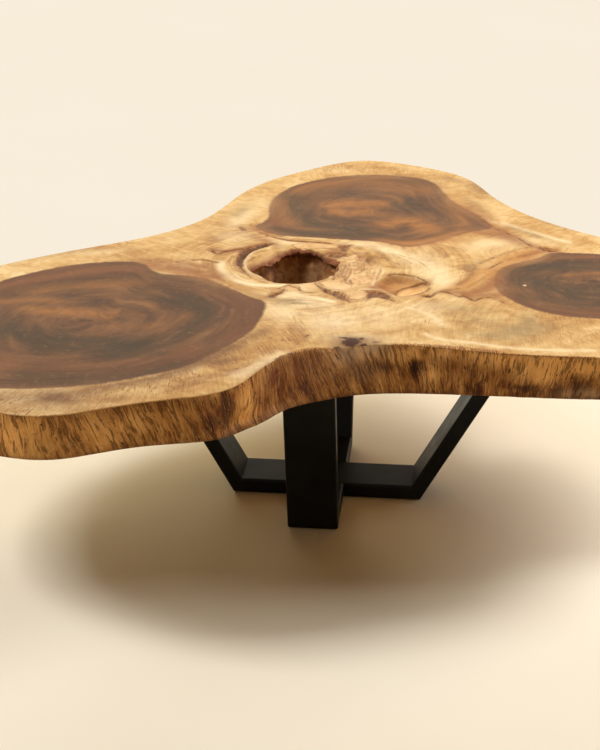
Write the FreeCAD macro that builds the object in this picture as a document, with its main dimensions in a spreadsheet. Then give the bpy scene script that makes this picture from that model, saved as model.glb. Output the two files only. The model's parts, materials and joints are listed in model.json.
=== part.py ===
import FreeCAD, Part
import math
import os
import Sketcher

# Live edge table: a cross-cut slab of three grown-together stems on a crossed steel base.
# Millimetres, +Z up. The origin is on the floor under the middle of the slab, +Y points to the rear.

# Driving dimensions
SIZES = {
    # Slab
    "table_height": 452,
    "slab_thickness": 85,
    "edge_ease": 4,
    "waist_flare": 44,
    "waist_flare_reach": 420,
    # Pith of each stem
    "left_pith_x": -405,
    "left_pith_y": -296,
    "right_pith_x": 525,
    "right_pith_y": -21,
    "back_pith_x": 55,
    "back_pith_y": 399,
    # Natural hole between the stems
    "hole_x": -67,
    "hole_y": 28,
    "hole_taper": 14,
    # Shallow weathered trough beside the hole, and the smooth scoop in it
    "trough_x": 105,
    "trough_y": 15,
    "trough_length": 190,
    "trough_width": 170,
    "trough_depth": 10,
    "scoop_x": 170,
    "scoop_y": -64,
    "scoop_length": 112,
    "scoop_width": 84,
    "scoop_depth": 20,
    # Rectangular steel tube
    "tube_width": 100,
    "tube_height": 30,
    "tube_wall": 3,
    "tube_bend": 1,
    # Base frames
    "foot_length": 382,
    "side_leg_angle": 60.8,
    "end_leg_angle": 73.8,
    "cross_frame_shift": 15,
    "base_forward": 56,
    # Mounting plates
    "plate_length": 115,
    "plate_thickness": 6,
    "bolt_edge": 16,
    "bolt_row_gap": 36,
    "bolt_spacing": 60,
    # Bolts, washers and threaded inserts
    "bolt_diameter": 8,
    "bolt_length": 25,
    "bolt_clearance": 2,
    "head_diameter": 14,
    "head_height": 4.5,
    "key_width": 5,
    "key_depth": 2.5,
    "washer_diameter": 24,
    "washer_thickness": 2,
    "insert_diameter": 14,
    "insert_length": 20,
    "insert_hole_spare": 3,
    "thread_gap": 0.1,
    # Floor glides
    "glide_diameter": 40,
    "glide_thickness": 2,
    "glide_inset": 40,
}

# Rim radii of each stem, evenly spread in angle between its two waists, anticlockwise
RIM_RADII = {
    "left": [380, 363, 380, 405, 426, 434, 427, 429, 388, 408],
    "right": [404, 364, 358, 325, 292, 278, 264, 252, 273],
    "back": [291, 305, 310, 324, 286, 277, 289],
}

# Points of the rim's three waists, anticlockwise
WAISTS = {
    "front": [(-47, -447), (16, -394), (84, -367)],
    "right": [(414, 374)],
    "left": [(-274, 312), (-384, 168)],
}

# Each stem stands between two waists, in anticlockwise order
STEMS = [("left", "left", "front"), ("right", "front", "right"), ("back", "right", "left")]

# Radii of the hole's mouth, evenly spread in angle, anticlockwise from +X
HOLE_RADII = [87, 92, 94, 88, 90, 94, 96, 90]

# Direction of each leg round the base, and the frame that it belongs to
LEGS = {"right": (0, "side"), "rear": (90, "end"), "left": (180, "side"), "front": (270, "end")}
FRAME_X = {"side": "Sizes.cross_frame_shift", "end": "0"}
BASE_Y = "-Sizes.base_forward"

doc = FreeCAD.newDocument("LiveEdgeTable")
sheet = doc.addObject("Spreadsheet::Sheet", "Sizes")
nodes = []


def add_size(row, alias, amount):
    """Write one named number to the sheet."""
    sheet.set(f"A{row}", alias.replace("_", " "))
    sheet.set(f"B{row}", str(amount))
    sheet.setAlias(f"B{row}", alias)


def fill_sheet():
    """Write every driving dimension to the sheet, one to a row."""
    sizes = dict(SIZES)
    for stem, radii in RIM_RADII.items():
        for count, radius in enumerate(radii, 1):
            sizes[f"{stem}_rim_radius_{count}"] = radius
    for waist, points in WAISTS.items():
        for count, (across, depth) in enumerate(points, 1):
            sizes[f"{waist}_waist_{count}_x"] = across
            sizes[f"{waist}_waist_{count}_y"] = depth
    for count, radius in enumerate(HOLE_RADII, 1):
        sizes[f"hole_radius_{count}"] = radius
    for row, (alias, amount) in enumerate(sizes.items(), 1):
        add_size(row, alias, amount)
    doc.recompute()


def number(expression):
    """The value of an expression on the sheet."""
    return float(sheet.evalExpression(expression))


def size(alias):
    return number("Sizes." + alias)


fill_sheet()

# Levels and lengths worked out from the driving dimensions
UNDERSIDE = "(Sizes.table_height - Sizes.slab_thickness)"
LEG_TOP = f"({UNDERSIDE} - Sizes.plate_thickness)"
LEG_RISE = f"({LEG_TOP} - Sizes.glide_thickness)"
BEND_RADIUS = "(Sizes.tube_bend + Sizes.tube_wall)"


def leg_angle(frame):
    return f"Sizes.{frame}_leg_angle"


def mitre(frame):
    """How far a mitred end is set back on the tube's inner face."""
    return f"(Sizes.tube_height * tan({leg_angle(frame)} / 2))"


def leg_reach(frame):
    """Distance from the base's middle to the outer edge of a leg's top."""
    return f"(Sizes.foot_length / 2 + {LEG_RISE} / tan({leg_angle(frame)}))"


def spot(centre_x, azimuth, reach, level):
    """Vector expression for a spot at a reach and direction from a frame's middle."""
    return (
        f"vector({centre_x} + {reach} * cos({azimuth}); "
        f"{BASE_Y} + {reach} * sin({azimuth}); {level})"
    )


def turn(azimuth):
    return f"rotation(vector(0; 0; 1); {azimuth})"


# Sketch helpers


def new_body(label):
    body = doc.addObject("PartDesign::Body", label)
    body.Label = label
    return body


def new_sketch(body, name, role):
    """A sketch on one of the body's own origin planes."""
    plane = next(item for item in body.Origin.OriginFeatures if item.Role == role)
    sketch = body.newObject("Sketcher::SketchObject", name)
    sketch.AttachmentSupport = (plane, [""])
    sketch.MapMode = "FlatFace"
    return sketch


def drive(sketch, constraint, expression):
    """Add a dimension to a sketch and bind it to the sheet."""
    index = sketch.addConstraint(constraint)
    sketch.setExpression(f"Constraints[{index}]", expression)


def place_point(sketch, geometry, point, across, along):
    """Dimension one point of a sketch from its origin."""
    origin = (-1, 1)
    drive(sketch, Sketcher.Constraint("DistanceX", *origin, geometry, point, number(across)), across)
    drive(sketch, Sketcher.Constraint("DistanceY", *origin, geometry, point, number(along)), along)


def add_polygon(sketch, corners):
    """A closed polygon whose corners are pairs of expressions."""
    points = [FreeCAD.Vector(number(across), number(along)) for across, along in corners]
    lines = []
    for start, end in zip(points, points[1:] + points[:1]):
        lines.append(sketch.addGeometry(Part.LineSegment(start, end), False))
    for line, following in zip(lines, lines[1:] + lines[:1]):
        sketch.addConstraint(Sketcher.Constraint("Coincident", line, 2, following, 1))
    for line, (across, along) in zip(lines, corners):
        place_point(sketch, line, 1, across, along)


def add_circle(sketch, across, along, diameter):
    centre = FreeCAD.Vector(number(across), number(along))
    circle = Part.Circle(centre, FreeCAD.Vector(0, 0, 1), number(diameter) / 2)
    index = sketch.addGeometry(circle, False)
    place_point(sketch, index, 3, across, along)
    drive(sketch, Sketcher.Constraint("Diameter", index, number(diameter)), diameter)


def add_tube_loop(sketch, radius):
    """A rounded rectangle about the four bends of the tube, at one radius from their centres."""
    side = f"(Sizes.tube_width / 2 - {BEND_RADIUS})"
    low = BEND_RADIUS
    high = f"(Sizes.tube_height - {BEND_RADIUS})"
    centres = [(side, low), (side, high), (f"-{side}", high), (f"-{side}", low)]
    reach = number(radius)
    arcs = []
    for quarter, (across, along) in enumerate(centres):
        centre = FreeCAD.Vector(number(across), number(along))
        circle = Part.Circle(centre, FreeCAD.Vector(0, 0, 1), reach)
        start = (quarter - 1) * math.pi / 2
        arc = Part.ArcOfCircle(circle, start, start + math.pi / 2)
        arcs.append(sketch.addGeometry(arc, False))
    lines = []
    for arc, following in zip(arcs, arcs[1:] + arcs[:1]):
        end = sketch.Geometry[arc].EndPoint
        start = sketch.Geometry[following].StartPoint
        lines.append(sketch.addGeometry(Part.LineSegment(end, start), False))
    for arc, line, following in zip(arcs, lines, arcs[1:] + arcs[:1]):
        sketch.addConstraint(Sketcher.Constraint("Tangent", arc, 2, line, 1))
        sketch.addConstraint(Sketcher.Constraint("Tangent", line, 2, following, 1))
    for line, direction in zip(lines, ("Vertical", "Horizontal", "Vertical", "Horizontal")):
        sketch.addConstraint(Sketcher.Constraint(direction, line))
    for arc in arcs[1:]:
        sketch.addConstraint(Sketcher.Constraint("Equal", arcs[0], arc))
    drive(sketch, Sketcher.Constraint("Radius", arcs[0], reach), radius)
    place_point(sketch, arcs[0], 3, *centres[0])
    place_point(sketch, arcs[2], 3, *centres[2])


def add_pad(body, sketch, length, downward=False):
    pad = body.newObject("PartDesign::Pad", "Pad")
    pad.Profile = sketch
    pad.Reversed = downward
    pad.setExpression("Length", length)
    doc.recompute()


# Steel tubes of the base


def cut_end(body, beyond, inside):
    """Cut a tube's end along a slant that runs one tube height past both of its faces."""
    sketch = new_sketch(body, "EndSketch", "YZ_Plane")
    outer_face = "-Sizes.tube_height"
    inner_face = "2 * Sizes.tube_height"
    add_polygon(sketch, [(outer_face, beyond), (inner_face, beyond), (inner_face, inside)])
    pocket = body.newObject("PartDesign::Pocket", "EndCut")
    pocket.Profile = sketch
    pocket.Type = "ThroughAll"
    pocket.SideType = "Symmetric"
    doc.recompute()


def add_tube(label, start, azimuth, tilt, length, start_setback, end_setback):
    """A tube whose outer face starts at a spot and runs out and up, with its ends cut on a slant."""
    body = new_body(label)
    section = new_sketch(body, "Section", "XY_Plane")
    add_tube_loop(section, BEND_RADIUS)
    add_tube_loop(section, "Sizes.tube_bend")
    add_pad(body, section, length)
    if start_setback:
        cut_end(body, f"-{start_setback}", f"2 * {start_setback}")
    cut_end(body, f"{length} + {end_setback}", f"{length} - 2 * {end_setback}")
    lean = f"rotation(vector(0; 1; 0); -{tilt})"
    along_x = "rotation(vector(1; 1; 1); 120)"
    body.setExpression("Placement", f"placement({start}; {turn(azimuth)} * {lean} * {along_x})")
    nodes.append(body)


def add_feet():
    """The cross foot runs through; the front and rear feet butt against its sides."""
    level = "Sizes.glide_thickness"
    start = spot(FRAME_X["side"], 180, "Sizes.foot_length / 2", level)
    add_tube("cross_foot_tube", start, 0, 0, "Sizes.foot_length", mitre("side"), mitre("side"))
    length = "(Sizes.foot_length / 2 - Sizes.tube_width / 2)"
    for side in ("front", "rear"):
        azimuth, frame = LEGS[side]
        start = spot(FRAME_X[frame], azimuth, "Sizes.tube_width / 2", level)
        add_tube(f"{side}_foot_tube", start, azimuth, 0, length, None, mitre(frame))


def add_legs():
    """Each leg is mitred to its foot and cut level under its mounting plate."""
    for side, (azimuth, frame) in LEGS.items():
        start = spot(FRAME_X[frame], azimuth, "Sizes.foot_length / 2", "Sizes.glide_thickness")
        angle = leg_angle(frame)
        length = f"({LEG_RISE} / sin({angle}))"
        level_cut = f"(Sizes.tube_height / tan({angle}))"
        add_tube(f"{side}_leg_tube", start, azimuth, angle, length, mitre(frame), level_cut)


# Mounting plates and their fasteners


def bolt_spots():
    """Places of a plate's four bolts, from the middle of the plate's outer edge."""
    inner = "(Sizes.bolt_edge - Sizes.plate_length)"
    outer = f"({inner} + Sizes.bolt_row_gap)"
    half = "Sizes.bolt_spacing / 2"
    return [(across, along) for across in (inner, outer) for along in (half, f"-{half}")]


def add_bolt_circles(sketch, diameter):
    for across, along in bolt_spots():
        add_circle(sketch, across, along, diameter)


def set_on_leg(body, side, level):
    """Stand a body at a leg's top, with its X axis pointing outward."""
    azimuth, frame = LEGS[side]
    start = spot(FRAME_X[frame], azimuth, leg_reach(frame), level)
    body.setExpression("Placement", f"placement({start}; {turn(azimuth)})")


def add_plate(side):
    body = new_body(f"{side}_mounting_plate")
    sketch = new_sketch(body, "Outline", "XY_Plane")
    half = "Sizes.tube_width / 2"
    add_polygon(sketch, [
        ("-Sizes.plate_length", f"-{half}"),
        ("0", f"-{half}"),
        ("0", half),
        ("-Sizes.plate_length", half),
    ])
    add_bolt_circles(sketch, "Sizes.bolt_diameter + Sizes.bolt_clearance")
    add_pad(body, sketch, "Sizes.plate_thickness")
    set_on_leg(body, side, LEG_TOP)
    nodes.append(body)


def add_rings(label, side, outer, inner, length, level, downward):
    """Four rings, one at each bolt of a plate."""
    body = new_body(label)
    sketch = new_sketch(body, "Rings", "XY_Plane")
    add_bolt_circles(sketch, outer)
    add_bolt_circles(sketch, inner)
    add_pad(body, sketch, length, downward)
    set_on_leg(body, side, level)
    nodes.append(body)


def add_key_sockets(body):
    """A hexagonal key socket in each bolt's head."""
    sketch = new_sketch(body, "KeySketch", "XY_Plane")
    sketch.setExpression("AttachmentOffset.Base.z", "-Sizes.head_height")
    corner = "Sizes.key_width / sqrt(3)"
    for across, along in bolt_spots():
        add_polygon(sketch, [
            (f"{across} + {corner} * cos({60 * step})", f"{along} + {corner} * sin({60 * step})")
            for step in range(6)
        ])
    pocket = body.newObject("PartDesign::Pocket", "KeySockets")
    pocket.Profile = sketch
    pocket.Reversed = True
    pocket.setExpression("Length", "Sizes.key_depth")
    doc.recompute()


def add_bolts(side):
    """Four bolts whose heads bear on the washers."""
    body = new_body(f"{side}_plate_bolts")
    shanks = new_sketch(body, "Shanks", "XY_Plane")
    add_bolt_circles(shanks, "Sizes.bolt_diameter")
    add_pad(body, shanks, "Sizes.bolt_length")
    heads = new_sketch(body, "Heads", "XY_Plane")
    add_bolt_circles(heads, "Sizes.head_diameter")
    add_pad(body, heads, "Sizes.head_height", downward=True)
    add_key_sockets(body)
    set_on_leg(body, side, f"{LEG_TOP} - Sizes.washer_thickness")
    nodes.append(body)


def add_fasteners(side):
    """Washers under the plate, bolts through it, and threaded inserts in the slab above it."""
    washer = ("Sizes.washer_diameter", "Sizes.bolt_diameter + Sizes.bolt_clearance", "Sizes.washer_thickness")
    insert = ("Sizes.insert_diameter", "Sizes.bolt_diameter + 2 * Sizes.thread_gap", "Sizes.insert_length")
    add_rings(f"{side}_plate_washers", side, *washer, LEG_TOP, True)
    add_bolts(side)
    add_rings(f"{side}_plate_inserts", side, *insert, UNDERSIDE, False)


def add_insert_holes(side):
    """The four holes in the slab that take a plate's inserts, as solids to cut away."""
    body = new_body(f"{side} insert holes")
    sketch = new_sketch(body, "Holes", "XY_Plane")
    add_bolt_circles(sketch, "Sizes.insert_diameter")
    add_pad(body, sketch, "Sizes.insert_length + Sizes.insert_hole_spare")
    set_on_leg(body, side, UNDERSIDE)
    return body


def add_glide(side):
    """A floor glide under the outer end of a foot."""
    azimuth, frame = LEGS[side]
    glide = doc.addObject("Part::Cylinder", f"{side}_floor_glide")
    glide.Label = f"{side}_floor_glide"
    glide.setExpression("Radius", "Sizes.glide_diameter / 2")
    glide.setExpression("Height", "Sizes.glide_thickness")
    start = spot(FRAME_X[frame], azimuth, "(Sizes.foot_length / 2 - Sizes.glide_inset)", "0")
    glide.setExpression("Placement", f"placement({start}; {turn(azimuth)})")
    nodes.append(glide)


# Wooden slab


def waist_points(waist):
    counts = range(1, len(WAISTS[waist]) + 1)
    return [
        FreeCAD.Vector(size(f"{waist}_waist_{count}_x"), size(f"{waist}_waist_{count}_y")) for count in counts
    ]


def stem_points(stem, start, end):
    """Points of a stem's rim, from the waist point before it round to the one after it."""
    pith = FreeCAD.Vector(size(f"{stem}_pith_x"), size(f"{stem}_pith_y"))
    first = math.atan2(start.y - pith.y, start.x - pith.x)
    last = math.atan2(end.y - pith.y, end.x - pith.x)
    span = (last - first) % (2 * math.pi)
    steps = len(RIM_RADII[stem]) + 1
    points = []
    for count in range(1, steps):
        angle = first + span * count / steps
        radius = size(f"{stem}_rim_radius_{count}")
        points.append(pith + FreeCAD.Vector(math.cos(angle), math.sin(angle)) * radius)
    return points


def rim_points():
    """The points of the slab's top outline, anticlockwise."""
    points = []
    for stem, before, after in STEMS:
        points += stem_points(stem, waist_points(before)[-1], waist_points(after)[0])
        points += waist_points(after)
    return points


def waist_middles():
    middles = []
    for waist in WAISTS:
        points = waist_points(waist)
        middles.append(sum(points, FreeCAD.Vector()) / len(points))
    return middles


def flare_at(point):
    """How far the underside stands out past the top: most at the waists, nothing round the stems."""
    reach = size("waist_flare_reach")
    distance = min((point - middle).Length for middle in waist_middles())
    return size("waist_flare") * math.cos(math.pi / 2 * min(distance / reach, 1)) ** 2


def outward(points):
    """The outward direction at each point of an anticlockwise outline."""
    directions = []
    for before, after in zip(points[-1:] + points[:-1], points[1:] + points[:1]):
        chord = after - before
        directions.append(FreeCAD.Vector(chord.y, -chord.x).normalize())
    return directions


def chord_parameters(points):
    """Running length round the points, so that every section of a solid is divided alike."""
    parameters = [0.0]
    for start, end in zip(points, points[1:] + points[:1]):
        parameters.append(parameters[-1] + (end - start).Length)
    return parameters


def closed_wire(points, level, parameters):
    curve = Part.BSplineCurve()
    raised = [FreeCAD.Vector(point.x, point.y, level) for point in points]
    curve.interpolate(Points=raised, PeriodicFlag=True, Parameters=parameters)
    return Part.Wire([curve.toShape()])


def add_blank():
    """The slab before its hole is cut, with eased edges and an underside that flares at the waists."""
    points = rim_points()
    directions = outward(points)
    parameters = chord_parameters(points)
    flares = [flare_at(point) for point in points]
    ease = size("edge_ease")
    top = size("table_height")
    bottom = number(UNDERSIDE)
    flush = [0.0] * len(points)
    lower_sections = [(bottom, flares, ease), (bottom + ease, flares, 0)]
    sections = lower_sections + [(top - ease, flush, 0), (top, flush, ease)]
    wires = []
    for height, stand_out, inset in sections:
        moved = [
            point + direction * (reach - inset)
            for point, direction, reach in zip(points, directions, stand_out)
        ]
        wires.append(closed_wire(moved, height, parameters))
    blank = doc.addObject("Part::Feature", "SlabBlank")
    blank.Shape = Part.makeLoft(wires, True, True)
    return blank


def add_hole():
    """The natural hole, as a solid to cut away: narrower towards the underside and past both faces."""
    centre = FreeCAD.Vector(size("hole_x"), size("hole_y"))
    radii = [size(f"hole_radius_{count}") for count in range(1, len(HOLE_RADII) + 1)]
    slope = size("hole_taper") / size("slab_thickness")
    past = size("edge_ease")
    top = size("table_height")
    ends = [(number(UNDERSIDE) - past, -slope * (size("slab_thickness") + past)), (top + past, slope * past)]
    wires = []
    for height, growth in ends:
        points = []
        for count, radius in enumerate(radii):
            angle = 2 * math.pi * count / len(radii)
            points.append(centre + FreeCAD.Vector(math.cos(angle), math.sin(angle)) * (radius + growth))
        wires.append(closed_wire(points, height, chord_parameters(points)))
    hole = doc.addObject("Part::Feature", "NaturalHole")
    hole.Shape = Part.makeLoft(wires, True, True)
    return hole


def add_hollow(name):
    """A shallow oval hollow in the slab's top, as a solid to cut away."""
    hollow = doc.addObject("Part::Ellipsoid", name)
    hollow.setExpression("Radius1", f"Sizes.{name}_depth")
    hollow.setExpression("Radius2", f"Sizes.{name}_width / 2")
    hollow.setExpression("Radius3", f"Sizes.{name}_length / 2")
    start = f"vector(Sizes.{name}_x; Sizes.{name}_y; Sizes.table_height)"
    hollow.setExpression("Placement", f"placement({start}; rotation(0; 0; 0))")
    return hollow


def add_slab():
    cuts = [add_hole(), add_hollow("trough"), add_hollow("scoop")]
    cuts += [add_insert_holes(side) for side in LEGS]
    tool = doc.addObject("Part::MultiFuse", "SlabCuts")
    tool.Shapes = cuts
    slab = doc.addObject("Part::Cut", "slab_top")
    slab.Label = "slab_top"
    slab.Base = add_blank()
    slab.Tool = tool
    nodes.append(slab)


def check_document():
    """Stop if any object failed or any sub-part is empty or broken."""
    for item in doc.Objects:
        if "Invalid" in item.State or "Error" in item.State:
            raise RuntimeError(f"{item.Label} failed: {item.State}")
    for item in nodes:
        if item.Shape.isNull() or not item.Shape.isValid() or not item.Shape.Solids:
            raise RuntimeError(f"{item.Label} has no valid solid")


def write_nodes():
    os.makedirs("parts", exist_ok=True)
    for item in nodes:
        item.Shape.exportStep(f"parts/{item.Label}.step")


add_slab()
add_feet()
add_legs()
for leg_side in LEGS:
    add_plate(leg_side)
    add_fasteners(leg_side)
    add_glide(leg_side)
doc.recompute()
check_document()
write_nodes()
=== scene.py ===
import json
import math

import bpy
import numpy as np
from mathutils import Matrix, Vector, geometry
from mathutils.bvhtree import BVHTree


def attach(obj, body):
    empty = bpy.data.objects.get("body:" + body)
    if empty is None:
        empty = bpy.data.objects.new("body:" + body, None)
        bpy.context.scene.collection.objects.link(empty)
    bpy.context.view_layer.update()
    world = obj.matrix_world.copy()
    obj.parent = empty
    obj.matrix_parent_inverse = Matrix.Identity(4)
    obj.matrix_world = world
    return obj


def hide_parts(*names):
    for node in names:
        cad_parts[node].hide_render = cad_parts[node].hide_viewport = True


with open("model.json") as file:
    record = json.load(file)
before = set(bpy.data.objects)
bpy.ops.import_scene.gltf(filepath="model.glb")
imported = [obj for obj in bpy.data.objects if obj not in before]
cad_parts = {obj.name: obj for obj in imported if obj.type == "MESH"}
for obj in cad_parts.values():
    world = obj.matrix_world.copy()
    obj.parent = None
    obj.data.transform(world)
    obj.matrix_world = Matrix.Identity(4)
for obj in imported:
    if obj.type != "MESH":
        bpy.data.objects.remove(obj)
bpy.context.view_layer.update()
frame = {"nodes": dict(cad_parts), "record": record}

# Sizes and places are in millimetres, in the part's own frame
MM = 0.001
TOP = 452.0
UNDERSIDE = 367.0
THICKNESS = TOP - UNDERSIDE
EDGE_EASE = 1.8
FOOT_EASE = 4.0
LIP_EASE = 4.0
HOLE = np.array([-67.0, 28.0])

# How the solid is measured: by rays, clear of its rounded edges
RIM_RAYS = 1800
HOLE_RAYS = 720
FAR_OUT = 1500.0
RIM_INSET = 6.0
LIP_INSET = 22.0
HOLE_LEVEL = TOP - 20

# Mesh spacing
RIM_STEP = 3.4
EASED_ROWS = 3
SIDE_ROWS = 15
HOLE_STEP = 3.0
HOLE_ROWS = 22
FINE_STEP = 3.5
FINE_ZONE = (55.0, 10.0, 320.0, 215.0)
COARSE_STEP = 8.0
UNDER_STEP = 10.0
ROW_SHARE = 0.866
EDGE_MARGIN = 0.7

# The flat sheet that colours can be baked to
SHEET = 1800.0
SHEET_GAP = 8.0
UNDER_SHARE = 0.3
RIM_STRIPS = 3
RIM_ROW = 4.6
STRIP_PITCH = 105.0
WALL_ROW = 6.5

# How deep the relief of the top, the live edge and the hole's wall is
TROUGH_DEPTH = 10.0
SCOOP_DEPTH = 9.0
LEDGE_DEPTH = 5.0
GROOVE_DEPTH = 4.5
CRACK_DEPTH = 1.6
TORN_DEPTH = 1.8
LIP_DROP = 5.0
CRAG_DEPTH = 3.4
ROLL_DEPTH = 9.0
WAVE_DEPTH = 1.7
RIDGE_DEPTH = 1.8
CHIP_DEPTH = 3.4
LUMP_DEPTH = 9.0
SHELF_DEPTH = 16.0
LIP_LEAN = 1.05

# How much of the top's relief each ring of the rim and of the hole takes, from the top down
RIM_FADES = (1.0, 0.95, 0.85, 0.7, 0.5, 0.3, 0.12)
HOLE_FADES = (1.0, 0.8, 0.5, 0.25, 0.1)

# Places in plan as x, y, half width and half depth
TROUGH = (105, 15, 85, 95)
ROLLED_EDGE = (84, -380, 50, 20)
REAR_LEFT_LIP = (-140, 85, 60, 70)
REAR_LIP = (0, 100, 40, 40)
LEFT_LIP = (-138, -20, 30, 45)
SHELF = (-132, -34, 46, 34)
# Where painted shade darkens the hole's wall at its rear right
PAINTED_WALL_SHADE = (-32, 104, 44, 50)

# The three stems that grew together: the pith of each, and how far apart they are about
PITHS = {"left": (-405.0, -296.0), "right": (525.0, -21.0), "back": (70.0, 385.0)}
STEM_SPAN = 500.0

# The edge of each dark heartwood
HEARTS = {
    "left": [
        (-633, -121), (-602, -87), (-553, -45), (-502, -13), (-446, 6), (-396, 14), (-366, 2),
        (-346, -28), (-322, -48), (-292, -50), (-260, -54), (-221, -72), (-177, -110), (-139, -147),
        (-106, -170), (-97, -199), (-98, -255), (-112, -332), (-140, -391), (-168, -442), (-205, -496),
        (-265, -541), (-345, -586), (-425, -611), (-505, -621), (-585, -606), (-665, -546),
        (-710, -446), (-720, -346), (-705, -246), (-670, -176),
    ],
    "back": [
        (-170, 246), (-156, 276), (-148, 312), (-154, 365), (-152, 422), (-139, 473), (-112, 526),
        (-72, 564), (-25, 596), (35, 615), (95, 619), (160, 605), (198, 571), (220, 512), (238, 462),
        (260, 424), (286, 389), (307, 354), (322, 318), (328, 286), (310, 272), (281, 254), (249, 224),
        (214, 188), (184, 166), (158, 157), (128, 166), (95, 180), (40, 184), (0, 188), (-40, 192),
        (-78, 194), (-119, 202), (-146, 218),
    ],
    "right": [
        (338, -10), (347, 42), (368, 72), (392, 92), (420, 112), (440, 138), (458, 152), (495, 152),
        (540, 151), (600, 142), (655, 112), (690, 60), (702, -10), (692, -80), (655, -148), (600, -186),
        (540, -197), (470, -190), (426, -170), (396, -148), (367, -112), (350, -85), (341, -55),
    ],
}


def unit(values):
    return np.clip(values, 0.0, 1.0)


def smooth(low, high, values):
    t = unit((values - low) / (high - low))
    return t * t * (3 - 2 * t)


def spline(points, closed=False, pieces=5):
    """A smooth line through the points."""
    p = np.asarray(points, float)
    ends = (p[-1:], p[:2]) if closed else (2 * p[:1] - p[1:2], 2 * p[-1:] - p[-2:-1])
    q = np.concatenate([ends[0], p, ends[1]])
    t = (np.arange(pieces) / pieces)[:, None]
    runs = []
    for a, b, c, d in zip(q, q[1:], q[2:], q[3:]):
        runs.append(b + t / 2 * (c - a + t * (2 * a - 5 * b + 4 * c - d + t * (3 * (b - c) + d - a))))
    return np.concatenate(runs if closed else runs + [p[-1:]])


def line_distance(xy, line, closed=False, limit=130.0):
    """Distance from a line, worked out only within a limit of it."""
    low, high = line.min(axis=0) - limit, line.max(axis=0) + limit
    near = np.all((xy > low) & (xy < high), axis=1)
    x, y = xy[near].T
    nearest = np.full(len(x), limit**2)
    ends = np.roll(line, -1, axis=0) if closed else line[1:]
    for (ax, ay), (bx, by) in zip(line, ends):
        run_x, run_y = bx - ax, by - ay
        t = unit(((x - ax) * run_x + (y - ay) * run_y) / (run_x**2 + run_y**2))
        nearest = np.minimum(nearest, (x - ax - t * run_x) ** 2 + (y - ay - t * run_y) ** 2)
    distance = np.full(len(xy), limit)
    distance[near] = np.sqrt(nearest)
    return distance


def inside(xy, loop):
    within = np.zeros(len(xy), bool)
    x, y = xy.T
    for (ax, ay), (bx, by) in zip(loop, np.roll(loop, -1, axis=0)):
        if ay != by:
            crosses = (ay > y) != (by > y)
            within ^= crosses & (x < (bx - ax) * (y - ay) / (by - ay) + ax)
    return within


def signed_distance(xy, loop):
    """Distance from a closed line, below nothing inside it."""
    distance = line_distance(xy, loop, closed=True)
    return np.where(inside(xy, loop), -distance, distance)


def shape_distance(xy, outline, pieces=3):
    return signed_distance(xy, spline(outline, closed=True, pieces=pieces))


def lattice(cells, seed):
    """A repeatable number from -1 to 1 for each cell."""
    mixed = cells @ np.array([73856093, 19349663, 83492791], np.int64) + seed * 265443576
    mixed = (mixed ^ (mixed >> 13)) * 1274126177
    mixed = mixed ^ (mixed >> 16)
    return (mixed & 0xFFFF) / 32767.5 - 1


def value_noise(points, cell, seed):
    p = points / np.asarray(cell, float)
    low = np.floor(p).astype(np.int64)
    f = p - low
    f = f * f * (3 - 2 * f)
    total = np.zeros(len(points))
    for corner in np.ndindex(2, 2, 2):
        weight = np.prod(np.where(corner, f, 1 - f), axis=1)
        total += weight * lattice(low + np.array(corner), seed)
    return total


def spot(xy, x, y, wide, deep, turn=0.0):
    """A soft round patch, 1 in the middle."""
    c, s = math.cos(math.radians(turn)), math.sin(math.radians(turn))
    dx, dy = xy[:, 0] - x, xy[:, 1] - y
    return np.exp(-(((c * dx + s * dy) / wide) ** 2) - ((c * dy - s * dx) / deep) ** 2)


def spots(xy, patches):
    """Soft patches, each (x, y, half width, half depth, turn, strength), the strongest one winning."""
    field = np.zeros(len(xy))
    for x, y, wide, deep, turn, strength in patches:
        field = np.maximum(field, strength * spot(xy, x, y, wide, deep, turn))
    return field


def strokes(xy, lines):
    """Soft strokes, each (half width, strength, points)."""
    field = np.zeros(len(xy))
    for half_width, strength, points in lines:
        distance = line_distance(xy, spline(points), limit=110.0)
        field = np.maximum(field, strength * np.exp(-((distance / half_width) ** 2)))
    return field


def seam_distance(xy, lines):
    """Distance from the nearest crisp line's edge, each line (half width, points)."""
    nearest = np.full(len(xy), 60.0)
    for half_width, points in lines:
        nearest = np.minimum(nearest, line_distance(xy, spline(points), limit=60.0) - half_width)
    return nearest


def patch_distance(xy, outlines):
    nearest = np.full(len(xy), 60.0)
    for outline in outlines:
        nearest = np.minimum(nearest, signed_distance(xy, np.asarray(outline, float)))
    return nearest


# Marks on the sawn top: soft patches as x, y, half width, half depth, turn and strength
PATCHES = {}

# Soft strokes as half width, strength and points
STROKES = {}

PATCHES["pale"] = [
    (120, 135, 90, 20, -38, 0.8), (175, 85, 70, 30, -48, 0.75), (218, 20, 30, 100, 12, 0.75),
    (60, 160, 50, 14, -8, 0.7), (240, -45, 22, 50, 10, 0.7), (-40, -150, 60, 16, -14, 0.8),
    (-10, -175, 50, 26, -20, 0.8), (-60, -215, 40, 60, 8, 0.6), (40, -255, 60, 60, 0, 0.8),
    (205, -175, 60, 30, 20, 0.5), (330, 190, 60, 30, 30, 0.6), (120, -230, 70, 60, 0, 0.4),
    (-205, 185, 40, 40, 40, 0.4), (82, -335, 60, 26, 0, 0.6), (-72, 206, 46, 8, -8, 0.7),
    (-205, 300, 22, 70, -14, 0.7), (-30, -86, 14, 20, 24, 0.9), (34, -84, 26, 20, 0, 0.8),
    (-470, 60, 60, 14, 20, 0.4), (80, -125, 16, 20, 0, 0.6), (330, 60, 20, 12, 40, 0.5),
    (-100, 160, 30, 12, -20, 0.6),
]
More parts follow.
